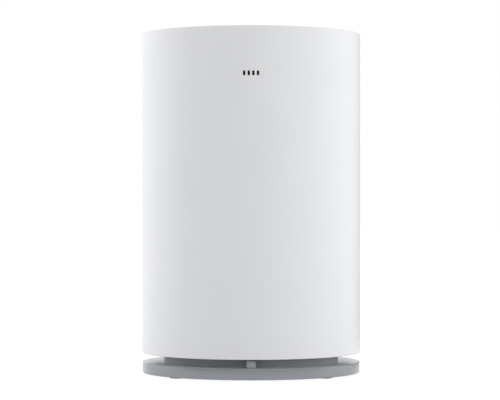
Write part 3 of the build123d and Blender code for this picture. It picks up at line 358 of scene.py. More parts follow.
def settle(piece, body, slot, *nodes):
    """Sets a piece on its body and hides the frame nodes that it stands for. Its finish slot is not used."""
    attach(piece, body)
    if nodes:
        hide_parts(*nodes)
    return piece


def dress(material, *nodes):
    """Gives frame nodes a material."""
    for node in nodes:
        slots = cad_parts[node].data.materials
        slots.clear()
        slots.append(material)


def half_size(low, high):
    """Half width and half depth of a box."""
    return (high.x - low.x) / 2.0, (high.y - low.y) / 2.0


def spaced(reach, step, steps):
    """One of the even steps from minus the reach to plus the reach."""
    return (2.0 * step / steps - 1.0) * reach


def even_angles(steps=ROUND_STEPS):
    """Parameter angles spaced evenly round an oval."""
    return [math.tau * i / steps for i in range(steps)]


def oval_place(half, inset, angle, height):
    """Place on an oval drawn in by an inset, at a parameter angle."""
    x = (half[0] - inset) * math.cos(angle)
    y = (half[1] - inset) * math.sin(angle)
    return Vector((x, y, height))


def arc(centre, radius, start, end, steps=FILLET_STEPS):
    """Points of an arc in the plane of a profile, from one angle to another in degrees."""
    points = []
    for i in range(steps + 1):
        angle = math.radians(start + (end - start) * i / steps)
        points.append((centre[0] + radius * math.cos(angle), centre[1] + radius * math.sin(angle)))
    return points


def circle(centre, radius, count):
    """Points spaced evenly round a circle in the plane of a profile."""
    return arc(centre, radius, 0, 360 - 360 / count, count - 1)


def rings_to_quads(mesh_data, rows, left_out=()):
    """Adds quads between rows of vertices that each close round the piece."""
    for r, (low, high) in enumerate(zip(rows, rows[1:])):
        count = len(low)
        for c in range(count):
            if (r, c) not in left_out:
                following = (c + 1) % count
                mesh_data.faces.new((low[c], low[following], high[following], high[c]))


def capped(mesh_data, rows):
    """Adds quads between rows of vertices, and a face over the first row and over the last."""
    rings_to_quads(mesh_data, rows)
    mesh_data.faces.new(rows[0])
    mesh_data.faces.new(rows[-1])


def loft(mesh_data, half, profile, closed):
    """Adds a profile of insets and heights, carried round an oval."""
    rows = []
    for inset, height in profile:
        rows.append([mesh_data.verts.new(oval_place(half, inset, a, height)) for a in even_angles()])
    if closed:
        rings_to_quads(mesh_data, rows + rows[:1])
    else:
        capped(mesh_data, rows)


# Cover

WINDOW_COUNT = 4


def front_angle(half_width, x):
    """Parameter angle of the place on the oval's front that has the given x."""
    return math.tau - math.acos(x / half_width)


class Window:
    """Grid cell of the cover's front round one window, and the rounded opening in it."""

    columns = 6
    rows = 12
    # Room in the cell above and below the opening, in radii of its ends
    margin = 2.0

    def __init__(self, sizes, index):
        self.x = (index - (WINDOW_COUNT - 1) / 2.0) * sizes.window_pitch
        self.z = (lens_low.z + lens_high.z) / 2.0
        self.half_pitch = sizes.window_pitch / 2.0
        self.radius = sizes.window_width / 2.0
        self.core = sizes.window_height / 2.0 - self.radius
        self.reach = self.radius + self.core + self.margin * self.radius

    def border(self):
        """Grid places, as column and row, round the cell from its lower left corner."""
        across, up = self.columns, self.rows
        places = [(c, 0) for c in range(across)]
        places += [(across, r) for r in range(up)]
        places += [(c, up) for c in range(across, 0, -1)]
        return places + [(0, r) for r in range(up, 0, -1)]

    def opening(self, place, grow):
        """The opening's own place that is nearest to a grid place, with the opening grown by a distance."""
        across = spaced(self.half_pitch, place[0], self.columns)
        up = spaced(self.reach, place[1], self.rows)
        middle = Vector((0.0, max(-self.core, min(self.core, up))))
        towards = (Vector((across, up)) - middle).normalized()
        return middle + towards * (self.radius + grow)


def cover_profile(sizes, window):
    """Insets and heights of the cover's closed outline, and the rows where the windows begin."""
    low, high = cover_low.z, cover_high.z
    wall, edge = sizes.cover_wall, sizes.cover_edge
    mouth = wall + sizes.cover_lip
    cell = [window.z + spaced(window.reach, r, window.rows) for r in range(window.rows + 1)]
    outside = arc((edge, low + edge), edge, 270, 180)
    first = len(outside)
    outside += [(0.0, z) for z in cell]
    outside += arc((edge, high - edge), edge, 180, 90)
    outside += arc((mouth - sizes.mouth_edge, high - sizes.mouth_edge), sizes.mouth_edge, 90, 0)
    inside = [(mouth, high - wall), (wall, high - wall)]
    second = len(outside) + len(inside)
    inside += [(wall, z) for z in reversed(cell)]
    inside += [(wall, low)]
    return outside + inside, first, second


def window_loops(mesh_data, half, sizes, window):
    """Loops of vertices round one opening, over its rounded edge and through the wall."""
    edge = sizes.window_edge
    rounded = [(edge - y, edge - x) for x, y in arc((0.0, 0.0), edge, 0, 90, BEVEL_STEPS)]
    loops = []
    for grow, inset in rounded + [(0.0, sizes.cover_wall)]:
        loop = []
        for place in window.border():
            x, z = window.opening(place, grow)
            angle = front_angle(half[0] - inset, window.x + x)
            loop.append(mesh_data.verts.new(oval_place(half, inset, angle, window.z + z)))
        loops.append(loop)
    return loops


def cover_mesh(sizes):
    """Mesh data of the cover, with a rounded opening for each window through its front wall."""
    half = half_size(cover_low, cover_high)
    windows = [Window(sizes, n) for n in range(WINDOW_COUNT)]
    profile, first, second = cover_profile(sizes, windows[0])
    zone = WINDOW_COUNT * sizes.window_pitch / 2.0
    front_count = WINDOW_COUNT * Window.columns
    front = [spaced(zone, c, front_count) for c in range(front_count + 1)]
    start = front_angle(half[0], zone)
    end = front_angle(half[0], -zone) + math.tau
    rest = [start + (end - start) * i / ROUND_STEPS for i in range(1, ROUND_STEPS)]
    mesh_data = bmesh.new()
    rows = []
    for inset, height in profile:
        angles = [front_angle(half[0] - inset, x) for x in front] + rest
        rows.append([mesh_data.verts.new(oval_place(half, inset, a, height)) for a in angles])
    left_out = set()
    for r in range(Window.rows):
        for c in range(front_count):
            left_out.update({(first + r, c), (second + r, c)})
    rings_to_quads(mesh_data, rows + rows[:1], left_out)
    for index, window in enumerate(windows):
        column = index * Window.columns
        outer = [rows[first + r][column + c] for c, r in window.border()]
        inner = [rows[second + Window.rows - r][column + c] for c, r in window.border()]
        rings_to_quads(mesh_data, [outer, *window_loops(mesh_data, half, sizes, window), inner])
    bmesh.ops.delete(mesh_data, geom=[v for v in mesh_data.verts if not v.link_faces], context="VERTS")
    return mesh_data


class PURIFIER_OT_cover(bpy.types.Operator):
    """Models the white oval cover and finishes the smoked light guide in its windows"""

    bl_idname = "purifier.cover"
    bl_label = "Cover"

    def execute(self, context):
        sizes, finishes = context.scene.purifier_sizes, context.scene.purifier_finishes
        tone, roughness = finishes.cover_white, finishes.cover_gloss
        white = moulded("cover_white", tone, roughness, grain=0.0006, depth=0.000012, drift=0.006)
        settle(finish_mesh("cover", cover_mesh(sizes), white), "cover", "cover_white", "cover_shell")
        smoked = moulded(
            "lens_smoked", finishes.lens_black,
            roughness=0.2, grain=0.002, depth=0.000004, specular_ior_level=0.25,
        )
        dress(smoked, "indicator_lens")
        return {"FINISHED"}


# Base

# From the base's outside to the flat middle of its top
BASE_CAP = 0.04
# Bosses: radius, inset from the base's outside, angles round the oval and depth in the roof
BOSS_RADIUS = 0.0045
BOSS_INSET = 0.014
BOSS_ANGLES = (0, 55, 125, 180, 235, 305)
BOSS_SINK = 0.0005
# Streaks per metre round the oval and across the brushing
BASE_BRUSHING = (14.0, 1400.0, 1.0)
# Faces that look up more than this get the top's finish: a smoother, less metallic surface whose much
# lighter tone is painted light from above
TOP_SLOPE = 0.97


def post(mesh_data, at, radius, low, high):
    """Adds an upright post."""
    rows = []
    for z in (low, high):
        row = [at + Vector((radius * x, radius * y, z)) for x, y in circle((0, 0), 1.0, POST_STEPS)]
        rows.append([mesh_data.verts.new(p) for p in row])
    capped(mesh_data, rows)


def brush_map(mesh_data, half):
    """Maps each corner by its distance round the oval and its distance across the brushing."""
    layer = mesh_data.loops.layers.uv.new("brush")
    round_length = math.pi * (half[0] + half[1])
    for face in mesh_data.faces:
        middle = face.calc_center_median()
        base_turn = math.atan2(middle.y / half[1], middle.x / half[0])
        for loop in face.loops:
            place = loop.vert.co
            turn = math.atan2(place.y / half[1], place.x / half[0])
            turn -= math.tau * round((turn - base_turn) / math.tau)
            inward = (1.0 - math.hypot(place.x / half[0], place.y / half[1])) * half[1]
            loop[layer].uv = (turn / math.tau * round_length, place.z - inward)


def base_mesh(sizes):
    """Mesh data of the base: a rounded disc, hollow from below, with a boss for each screw of its plate."""
    half = half_size(base_low, base_high)
    low, high = base_low.z, base_high.z
    wall, edge = sizes.base_wall, sizes.base_edge
    profile = [(BASE_CAP, high)]
    profile += arc((edge, high - edge), edge, 90, 180)
    profile += arc((edge, low + edge), edge, 180, 270)
    profile += [(wall, low), (wall, high - wall), (BASE_CAP, high - wall)]
    mesh_data = bmesh.new()
    loft(mesh_data, half, profile, closed=False)
    for angle in BOSS_ANGLES:
        at = oval_place(half, BOSS_INSET, math.radians(angle), 0.0)
        post(mesh_data, at, BOSS_RADIUS, plate_top, high - wall + BOSS_SINK)
    brush_map(mesh_data, half)
    return mesh_data


def base_finish(name, tone, roughness, **sockets):
    """Satin metal of the base, brushed round the oval."""
    return streaked(
        name, tone, roughness, BASE_BRUSHING, depth=0.00001, source="UV", contrast=0.1, **sockets
    )


class PURIFIER_OT_base(bpy.types.Operator):
    """Models the brushed oval base and finishes the plate and feet under it"""

    bl_idname = "purifier.base"
    bl_label = "Base"

    def execute(self, context):
        sizes, finishes = context.scene.purifier_sizes, context.scene.purifier_finishes
        side = base_finish(
            "base_side",
            finishes.base_metal,
            finishes.base_gloss,
            metallic=finishes.base_metallic,
            coat_weight=finishes.base_coat,
            coat_roughness=finishes.base_gloss,
        )
        # The top is the same brushed metal with its own gloss, painted lighter as light falling from above
        top = base_finish("base_top", finishes.top_metal, finishes.top_gloss, metallic=finishes.top_metallic)
        base = finish_mesh("base", base_mesh(sizes), side)
        base.data.materials.append(top)
        for polygon in base.data.polygons:
            polygon.material_index = int(polygon.normal.z > TOP_SLOPE and polygon.center.z > base_low.z)
        settle(base, "stand", "base_metal", "base_shell")
        steel = streaked(
            "plate_steel", (0.5, 0.5, 0.51), roughness=0.42, stretch=(20.0, 1600.0, 1.0), depth=0.00001
        )
        dress(steel, "bottom_plate")
        rubber = moulded(
            "foot_rubber", (0.028, 0.028, 0.029), roughness=0.78, grain=0.0004, depth=0.00003
        )
        dress(rubber, "foot_1", "foot_2", "foot_3", "foot_4")
        return {"FINISHED"}


class PURIFIER_OT_neck(bpy.types.Operator):
    """Finishes the dark neck, the keeper that the tab holds and the slotted intake screen"""

    bl_idname = "purifier.neck"
    bl_label = "Neck"

    def execute(self, context):
        finishes = context.scene.purifier_finishes
        dark = moulded(
            "neck_plastic", finishes.neck_grey,
            roughness=0.4, grain=0.0007, depth=0.00001, specular_ior_level=0.12,
        )
        dress(dark, "neck_housing", "catch_keeper")
        grey = finishes.screen_grey
        screen = moulded("screen_plastic", grey, roughness=0.55, grain=0.0007, depth=0.00002)
        dress(screen, "intake_screen")
        return {"FINISHED"}


# Release tab

# From the cover's front to the front of the tab's pad
TAB_SETBACK = 0.014
# Painted shade: the lever and stem take the neck's grey darkened by this share, standing in for the shadow
# under the cover's edge
LEVER_PAINTED_SHADE = 0.28
SPRING_TURNS = 6


def sideways_block(mesh_data, half, outline):
    """Adds a bar across X with the given outline of Y and Z places."""
    capped(mesh_data, [[mesh_data.verts.new((x, y, z)) for y, z in outline] for x in (-half, half)])


def round_corners(mesh_data, heights, radius):
    """Rounds a bar's edges along Y at the given heights."""
    corners = []
    for edge in mesh_data.edges:
        a, b = (v.co for v in edge.verts)
        along_y = abs(a.x - b.x) < TINY and abs(a.z - b.z) < TINY
        if along_y and min(abs(a.z - z) for z in heights) < TINY:
            corners.append(edge)
    bmesh.ops.bevel(
        mesh_data, geom=corners, offset=radius, segments=FILLET_STEPS, affect="EDGES", profile=0.5
    )


def tab_places(sizes):
    """Front of the tab's pad, and front and back of the lever behind it, along Y."""
    front = cover_low.y + TAB_SETBACK
    return front, front + sizes.pad_standing, front + sizes.tab_plate


def pad_mesh(sizes):
    """Mesh data of the pad that the finger presses, with rounded corners."""
    front, back, _ = tab_places(sizes)
    low, high = tab_low.z, tab_low.z + sizes.pad_height
    outline = [(front, low), (front, high), (back, high), (back, low)]
    mesh_data = bmesh.new()
    sideways_block(mesh_data, half_size(tab_low, tab_high)[0], outline)
    round_corners(mesh_data, (low, high), sizes.tab_corner)
    return mesh_data


def lever_mesh(sizes):
    """Mesh data of the lever behind the pad, with the nose at its top that holds the cover."""
    _, front, back = tab_places(sizes)
    low, high = tab_low.z, tab_high.z
    nose = high - sizes.tab_nose
    outline = [(front, low), (front, nose), (tab_low.y, nose), (tab_low.y, high), (back, high), (back, low)]
    mesh_data = bmesh.new()
    sideways_block(mesh_data, half_size(tab_low, tab_high)[0], outline)
    round_corners(mesh_data, (low,), sizes.tab_corner)
    return mesh_data


def stem_mesh(sizes):
    """Mesh data of the tab's stem, turned along Y, with the groove of its stop ring."""
    mesh_data = bmesh.new()
    height = (stop_low.z + stop_high.z) / 2.0
    start = tab_places(sizes)[2]
    full = sizes.stem_radius
    deep = full - sizes.stem_groove
    outline = [
        (full, start),
        (full, stop_low.y),
        (deep, stop_low.y),
        (deep, stop_high.y),
        (full, stop_high.y),
        (full, tab_high.y),
    ]
    rows = []
    for radius, y in outline:
        ring = circle((0.0, 0.0), radius, STEM_STEPS)
        rows.append([mesh_data.verts.new((x, y, height + z)) for x, z in ring])
    capped(mesh_data, rows)
    return mesh_data


def spring_mesh(sizes):
    """Mesh data of the return spring, one unbroken wire wound along Y."""
    mesh_data = bmesh.new()
    wire = sizes.wire_radius
    middle = (spring_low + spring_high) / 2.0
    coil = (spring_high.x - spring_low.x) / 2.0 - wire
    start, end = spring_low.y + wire, spring_high.y - wire
    steps = SPRING_TURNS * TURN_STEPS
    slope = (end - start) / (SPRING_TURNS * math.tau * coil)
    rows = []
    for i in range(steps + 1):
        turn = math.tau * i / TURN_STEPS
        out = Vector((math.cos(turn), 0.0, math.sin(turn)))
        along = Vector((-math.sin(turn), slope, math.cos(turn))).normalized()
        across = along.cross(out)
        centre = middle + out * coil
        centre.y = start + (end - start) * i / steps
        ring = circle((0.0, 0.0), wire, WIRE_STEPS)
        rows.append([mesh_data.verts.new(centre + out * a + across * b) for a, b in ring])
    capped(mesh_data, rows)
    return mesh_data


class PURIFIER_OT_tab(bpy.types.Operator):
    """Models the release tab with its stem and the spring that pushes it out"""

    bl_idname = "purifier.tab"
    bl_label = "Release Tab"

    def execute(self, context):
        sizes, finishes = context.scene.purifier_sizes, context.scene.purifier_finishes
        grey = moulded("tab_plastic", finishes.tab_grey, roughness=0.45, grain=0.0008, depth=0.00002)
        # Painted shade: the lever and stem are darkened to stand in for the shadow that the cover casts
        # above the pad
        painted_shade_tone = shaded(finishes.neck_grey, LEVER_PAINTED_SHADE)
        dark = moulded("lever_painted_shade", painted_shade_tone, roughness=0.5, grain=0.0008, depth=0.00002)
        for name, mesh_data, material, edge, slot in (
            ("tab_pad", pad_mesh(sizes), grey, sizes.tab_edge, "tab_grey"),
            ("tab_lever", lever_mesh(sizes), dark, sizes.tab_edge, "neck_grey"),
            ("tab_stem", stem_mesh(sizes), dark, 0.0, "neck_grey"),
        ):
            settle(finish_mesh(name, mesh_data, material, edge), "release", slot, "release_tab")
        steel = streaked(
            "spring_steel", (0.56, 0.56, 0.57), roughness=0.3, stretch=(900.0, 900.0, 900.0), depth=0.000004
        )
        spring = finish_mesh("return_spring", spring_mesh(sizes), steel)
        settle(spring, "stand", "steel", "tab_spring")
        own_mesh(spring)
        return {"FINISHED"}


# Filter and foam

PLEAT_COUNT = 96
# Share of a fold that is straight, the rest being rounded
FOLD_STRAIGHT = 0.82
# Paper thicknesses across a steep fold's wall, along the radius
WALL_ALONG_RADIUS = 4.0
# Heights of the glue beads, as shares of the pleats' height
BEAD_HEIGHTS = (0.18, 0.5, 0.82)
# Power that squares off a round section, the more the lower it is
FOAM_SQUARENESS = 0.4
# Foam seals, with the node that each stands for and its width
FOAM_RINGS = (
    ("lower_gasket", "filter_bottom_gasket", 0.008),
    ("upper_gasket", "filter_top_gasket", 0.008),
    ("mouth_seal", "top_seal", 0.0049),
)


def pleat_places():
    """Places spaced evenly round the filter's outside, with the outward direction at each."""
    half = half_size(pleat_low, pleat_high)
    turns = [math.tau * i / LENGTH_STEPS - math.pi / 2.0 for i in range(LENGTH_STEPS + 1)]
    points = [oval_place(half, 0.0, turn, 0.0) for turn in turns]
    lengths = [0.0]
    for a, b in zip(points, points[1:]):
        lengths.append(lengths[-1] + (b - a).length)
    count = PLEAT_COUNT * PLEAT_STEPS
    places, i = [], 0
    for n in range(count):
        wanted = lengths[-1] * n / count
        while lengths[i + 1] < wanted:
            i += 1
        part = (wanted - lengths[i]) / (lengths[i + 1] - lengths[i])
        place = points[i].lerp(points[i + 1], part)
        out = Vector((place.x / half[0] ** 2, place.y / half[1] ** 2, 0.0)).normalized()
        places.append((place, out))
    return places


def fold_depth(step):
    """How far into the pleat a step lies, from nought at the tip to one at the root, with rounded tips."""
    straight = 1.0 - 2.0 * abs((step / PLEAT_STEPS) % 1.0 - 0.5)
    rounded = 0.5 - 0.5 * math.cos(math.tau * step / PLEAT_STEPS)
    return FOLD_STRAIGHT * straight + (1.0 - FOLD_STRAIGHT) * rounded


def paper_mesh(sizes):
    """Mesh data of the pleated paper, as a closed band with an outer and an inner face."""
    mesh_data = bmesh.new()
    wall = WALL_ALONG_RADIUS * sizes.paper_thickness
    outer, inner = [], []
    for n, (place, out) in enumerate(pleat_places()):
        depth = fold_depth(n % PLEAT_STEPS) * (sizes.pleat_depth - wall)
        outer.append(place - out * depth)
        inner.append(place - out * (depth + wall))
    corners = [(outer, pleat_low.z), (outer, pleat_high.z), (inner, pleat_high.z), (inner, pleat_low.z)]
    rows = []
    for line, z in corners:
        rows.append([mesh_data.verts.new((p.x, p.y, z)) for p in line])
    rings_to_quads(mesh_data, rows + rows[:1])
    return mesh_data


def bead_mesh(sizes):
    """Mesh data of the glue beads that run round the pleats and hold them apart."""
    mesh_data = bmesh.new()
    half = half_size(pleat_low, pleat_high)
    radius = sizes.bead_radius
    for part in BEAD_HEIGHTS:
        z = pleat_low.z + part * (pleat_high.z - pleat_low.z)
        loft(mesh_data, half, circle((radius, z), radius, WIRE_STEPS), closed=True)
    return mesh_data


def foam_profile(low, high, width):
    """Rounded outline of a foam strip, as insets and heights."""
    middle = (low + high) / 2.0
    points = []
    for angle in even_angles(FOAM_STEPS):
        c, s = math.cos(angle), math.sin(angle)
        x = math.copysign(abs(c) ** FOAM_SQUARENESS, c)
        y = math.copysign(abs(s) ** FOAM_SQUARENESS, s)
        points.append((width / 2.0 * (1.0 + x), middle + (high - low) / 2.0 * y))
    return points


class PURIFIER_OT_filter(bpy.types.Operator):
    """Models the pleated paper, its glue beads and the foam seals, and finishes the carbon"""

    bl_idname = "purifier.filter"
    bl_label = "Filter"

    def execute(self, context):
        sizes = context.scene.purifier_sizes
        paper = finish_mesh("pleated_paper", paper_mesh(sizes), pleated_paper())
        settle(paper, "stand", "filter_paper", "filter_media")
        glue = moulded("glue_bead", (0.7, 0.69, 0.62), roughness=0.35, grain=0.003, depth=0.00006)
        settle(finish_mesh("glue_beads", bead_mesh(sizes), glue), "stand", "filter_paper")
        foam = celled(
            "gasket_foam", (0.05, 0.05, 0.052), dark=(0.02, 0.02, 0.021),
            roughness=0.9, size=0.0011, depth=0.00025,
        )
        for name, node, width in FOAM_RINGS:
            low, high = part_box(node)
            mesh_data = bmesh.new()
            loft(mesh_data, half_size(low, high), foam_profile(low.z, high.z, width), closed=True)
            piece = settle(finish_mesh(name, mesh_data, foam), "stand", "foam", node)
        carbon = celled(
            "carbon_grain", (0.03, 0.03, 0.031), dark=(0.01, 0.01, 0.01),
            roughness=0.7, size=0.0016, depth=0.0004,
        )
        dress(carbon, "carbon_sleeve")
        return {"FINISHED"}


# Inner frame and electrics

FRAME_NODES = (
    "lower_deck", "fan_deck", "filter_bottom_cap", "filter_top_cap", "inlet_ring",
    "fan_duct", "diffuser", "pod_housing", "indicator_bracket",
)
POST_NODES = ("post_1", "post_2", "post_3", "post_4")
FASTENER_NODES = ("base_screws", "frame_screws", "tab_stop_ring", "impeller_nut")
TURNED_NODES = ("rotor_cup", "motor_shaft", "motor_bearings")
BLACK_NODES = ("power_inlet", "power_board_parts", "key_switches", "fan_connector", "cable_clips")


class PURIFIER_OT_frame(bpy.types.Operator):
    """Finishes the inner frame, the filter's caps, the fan, its motor, the top deck and the fasteners"""

    bl_idname = "purifier.frame"
    bl_label = "Inner Frame"

    def execute(self, context):
        finishes = context.scene.purifier_finishes
        for name, tone, roughness, grain, depth, *nodes in (
            ("frame_plastic", finishes.frame_grey, 0.48, 0.0008, 0.00002, *FRAME_NODES),
            ("deck_plastic", finishes.deck_white, 0.42, 0.0006, 0.000015, "top_deck", "outlet_grille"),
            ("impeller_nylon", (0.1, 0.103, 0.107), 0.5, 0.001, 0.00003, "impeller"),
        ):
            dress(moulded(name, tone, roughness, grain, depth), *nodes)
        for name, tone, roughness, stretch, depth, *nodes in (
            ("post_aluminium", (0.66, 0.66, 0.67), 0.34, (1500.0, 1500.0, 12.0), 0.00001, *POST_NODES),
            ("screw_zinc", (0.55, 0.55, 0.54), 0.36, (500.0, 500.0, 500.0), 0.00001, *FASTENER_NODES),
            ("turned_steel", (0.52, 0.52, 0.53), 0.3, (10.0, 10.0, 2500.0), 0.000006, *TURNED_NODES),
        ):
            dress(streaked(name, tone, roughness, stretch, depth), *nodes)
        for name, tone, roughness, size, depth, node in (
            ("stator_sheets", (0.3, 0.3, 0.31), 0.45, 0.0005, 0.00004, "motor_stator"),
            ("winding_copper", (0.62, 0.26, 0.12), 0.32, 0.0006, 0.0001, "stator_windings"),
        ):
            dress(layered(name, tone, roughness, size, depth, direction="Z", metallic=1.0), node)
        ferrite = celled(
            "magnet_ferrite", (0.09, 0.09, 0.095), dark=(0.05, 0.05, 0.052),
            roughness=0.55, size=0.0005, depth=0.00002,
        )
        dress(ferrite, "rotor_magnet")
        return {"FINISHED"}


class PURIFIER_OT_electrics(bpy.types.Operator):
    """Finishes the boards, lamps, wiring and mains inlet"""

    bl_idname = "purifier.electrics"
    bl_label = "Electrics"

    def execute(self, context):
        dress(circuit_green(), "power_board", "motor_board", "control_board", "indicator_board")
        for name, tone, roughness, grain, depth, *nodes in (
            ("component_black", (0.02, 0.02, 0.021), 0.45, 0.0006, 0.00002, *BLACK_NODES),
            ("lamp_white", (0.78, 0.77, 0.66), 0.25, 0.001, 0.00001, "indicator_leds"),
            ("grommet_rubber", (0.025, 0.025, 0.026), 0.72, 0.0005, 0.00003, "cable_grommets"),
        ):
            dress(moulded(name, tone, roughness, grain, depth), *nodes)
        brass = streaked(
            "pin_brass", (0.62, 0.47, 0.24), roughness=0.28, stretch=(800.0, 40.0, 800.0), depth=0.000004
        )
        dress(brass, "inlet_pins")
        sleeve = layered(
            "cable_sleeve", (0.03, 0.03, 0.032),
            roughness=0.62, size=0.0012, depth=0.00012, direction="DIAGONAL",
        )
        dress(sleeve, "wiring_harness")
        return {"FINISHED"}


# Controls

# Half of the opening in the power mark's ring, in degrees
MARK_GAP = 38
# Foot, middle and head of the power mark's bar, in radii of its ring
POWER_BAR = (0.1, 0.6, 1.15)
# Bars of the speed mark: their pitch in strokes, and their foot and the rise of each in radii
SPEED_BARS = 3
SPEED_PITCH = 2.4
SPEED_FOOT = 0.75
SPEED_RISE = 0.5


def round_end(place, along, width):
    """Half circle that closes a strip, from its left to its right."""
    across = Vector((-along.y, along.x))
    half = arc((0.0, 0.0), width / 2.0, 0, 180, MARK_END_STEPS)[1:-1]
    return [place + across * x + along * y for x, y in half]


def strip(mesh_data, line, width, low, high):
    """Adds a flat raised strip along a line of places, with rounded ends."""
    left, right = [], []
    for i, place in enumerate(line):
        before, after = line[max(0, i - 1)], line[min(len(line) - 1, i + 1)]
        along = (after - before).normalized()
        across = Vector((-along.y, along.x)) * width / 2.0
        left.append(place + across)
        right.append(place - across)
    first, last = (line[1] - line[0]).normalized(), (line[-1] - line[-2]).normalized()
    outline = left + round_end(line[-1], last, width) + right[::-1] + round_end(line[0], -first, width)
    capped(mesh_data, [[mesh_data.verts.new((p.x, p.y, z)) for p in outline] for z in (low, high)])


def power_lines(at, sizes):
    """Open ring and upright bar of the power mark."""
    ring = arc(at, sizes.mark_radius, 90 + MARK_GAP, 450 - MARK_GAP, MARK_STEPS)
    bar = [Vector(at) + Vector((0.0, sizes.mark_radius * s)) for s in POWER_BAR]
    return [[Vector(p) for p in ring], bar]


def speed_lines(at, sizes):
    """Bars of the speed mark, that grow from left to right."""
    lines = []
    for n in range(SPEED_BARS):
        x = (n - (SPEED_BARS - 1) / 2.0) * SPEED_PITCH * sizes.mark_width
        foot = Vector(at) + Vector((x, -sizes.mark_radius * SPEED_FOOT))
        rise = sizes.mark_radius * SPEED_RISE * (1 + n)
        lines.append([foot, foot + Vector((0.0, rise / 2.0)), foot + Vector((0.0, rise))])
    return lines


class PURIFIER_OT_controls(bpy.types.Operator):
    """Finishes the panel and keys, and models the raised mark on each key"""

    bl_idname = "purifier.controls"
    bl_label = "Controls"

    def execute(self, context):
        sizes = context.scene.purifier_sizes
        gloss = moulded("panel_gloss", (0.02, 0.02, 0.022), roughness=0.16, grain=0.004, depth=0.000006)
        dress(gloss, "control_panel")
        satin = moulded("key_satin", (0.56, 0.565, 0.575), roughness=0.38, grain=0.0005, depth=0.00001)
        dress(satin, "power_button", "speed_button")
        ink = moulded("mark_ink", (0.05, 0.05, 0.053), roughness=0.5, grain=0.0005, depth=0.000005)
        for node, body, lines_of in (
            ("power_button", "power_key", power_lines),
            ("speed_button", "speed_key", speed_lines),
        ):
            low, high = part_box(node)
            at = ((low.x + high.x) / 2.0, (low.y + high.y) / 2.0)
            bottom, top = high.z - sizes.mark_height, high.z + sizes.mark_height
            mesh_data = bmesh.new()
            for line in lines_of(at, sizes):
                strip(mesh_data, line, sizes.mark_width, bottom, top)
            settle(finish_mesh(node + "_mark", mesh_data, ink), body, "panel_dark")
        return {"FINISHED"}


# Stage

FLOOR_SIZE = 30.0
# Greys of the floor in bounced light and as seen, and the glow that lifts the seen floor to white
FLOOR_BOUNCED = (0.45, 0.45, 0.45, 1.0)
FLOOR_SEEN = (0.3, 0.3, 0.3, 1.0)
FLOOR_GLOW = 0.84
# Soft boxes: width and height, distance, height of the middle, and the height that they aim at
SOFT_BOX_SIZE = (1.2, 1.1)
SOFT_BOX_DISTANCE = 1.6
SOFT_BOX_HEIGHT = 0.36
SOFT_BOX_AIM = 0.25
SENSOR_MM = 36.0


def round_object(azimuth, distance, height):
    """Place round the object, by an azimuth in degrees that is nought at the front and 90 at the right."""
    angle = math.radians(azimuth)
    return distance * math.sin(angle), -distance * math.cos(angle), height


def seen_white(owner):
    """One for rays that show the background: straight to the camera, or by a reflection or through glass."""
    path = add_node(owner, "ShaderNodeLightPath")
    seen = path.outputs["Is Camera Ray"]
    for name in ("Is Glossy Ray", "Is Transmission Ray"):
        inputs = {0: seen, 1: path.outputs[name]}
        seen = add_node(owner, "ShaderNodeMath", inputs, operation="MAXIMUM").outputs[0]
    return seen


def stage_material(name):
    """Material of the stage, without its main shader."""
    material = bpy.data.materials.new(name)
    material.use_nodes = True
    nodes = material.node_tree.nodes
    nodes.remove(nodes["Principled BSDF"])
    return material


def show(material, node):
    """Links a node's shader to the material's output."""
    surface = material.node_tree.nodes["Material Output"].inputs["Surface"]
    material.node_tree.links.new(node.outputs[0], surface)


def floor_material():
    """White floor that shows the object's shadow faintly and sends plain light back up."""
    material = stage_material("studio_floor")
    plain = add_node(material, "ShaderNodeBsdfDiffuse", {"Color": FLOOR_BOUNCED})
    faint = add_node(material, "ShaderNodeBsdfDiffuse", {"Color": FLOOR_SEEN})
    glow = add_node(material, "ShaderNodeEmission", {"Strength": FLOOR_GLOW})
    shown = add_node(material, "ShaderNodeAddShader", {0: faint.outputs[0], 1: glow.outputs[0]})
    inputs = {0: seen_white(material), 1: plain.outputs[0], 2: shown.outputs[0]}
    show(material, add_node(material, "ShaderNodeMixShader", inputs))
    return material


def studio_world(strength):
    """Even room light, with a white background."""
    world = bpy.data.worlds.new("studio")
    world.use_nodes = True
    background = world.node_tree.nodes["Background"]
    background.inputs["Color"].default_value = (1.0, 1.0, 1.0, 1.0)
    inputs = {"Value": seen_white(world), "To Min": strength, "To Max": 1.0}
    strengths = add_node(world, "ShaderNodeMapRange", inputs)
    world.node_tree.links.new(strengths.outputs["Result"], background.inputs["Strength"])
    return world


def soft_box(name, azimuth, power):
    """Area lamp that faces the object from an azimuth."""
    lamp = bpy.data.lights.new(name, "AREA")
    lamp.shape = "RECTANGLE"
    lamp.size, lamp.size_y = SOFT_BOX_SIZE
    lamp.energy = power
    light = bpy.data.objects.new(name, lamp)
    light.location = round_object(azimuth, SOFT_BOX_DISTANCE, SOFT_BOX_HEIGHT)
    towards = Vector((0.0, 0.0, SOFT_BOX_AIM)) - light.location
    light.rotation_euler = towards.to_track_quat("-Z", "Y").to_euler()
    light.visible_glossy = False
    bpy.context.scene.collection.objects.link(light)


def card(name, azimuths, distance, heights, tone):
    """Curved card round a part of the object, that shows only in reflections, at an even grey."""
    mesh_data = bmesh.new()
    start, end = azimuths
    turns = [start + (end - start) * i / CARD_STEPS for i in range(CARD_STEPS + 1)]
    low, high = [[mesh_data.verts.new(round_object(turn, distance, z)) for turn in turns] for z in heights]
    for i in range(CARD_STEPS):
        mesh_data.faces.new((low[i], low[i + 1], high[i + 1], high[i]))
    material = stage_material(name)
    show(material, add_node(material, "ShaderNodeEmission", {"Strength": tone}))
    piece = finish_mesh(name, mesh_data, material)
    piece.visible_camera = False
    piece.visible_diffuse = False
    piece.visible_shadow = False


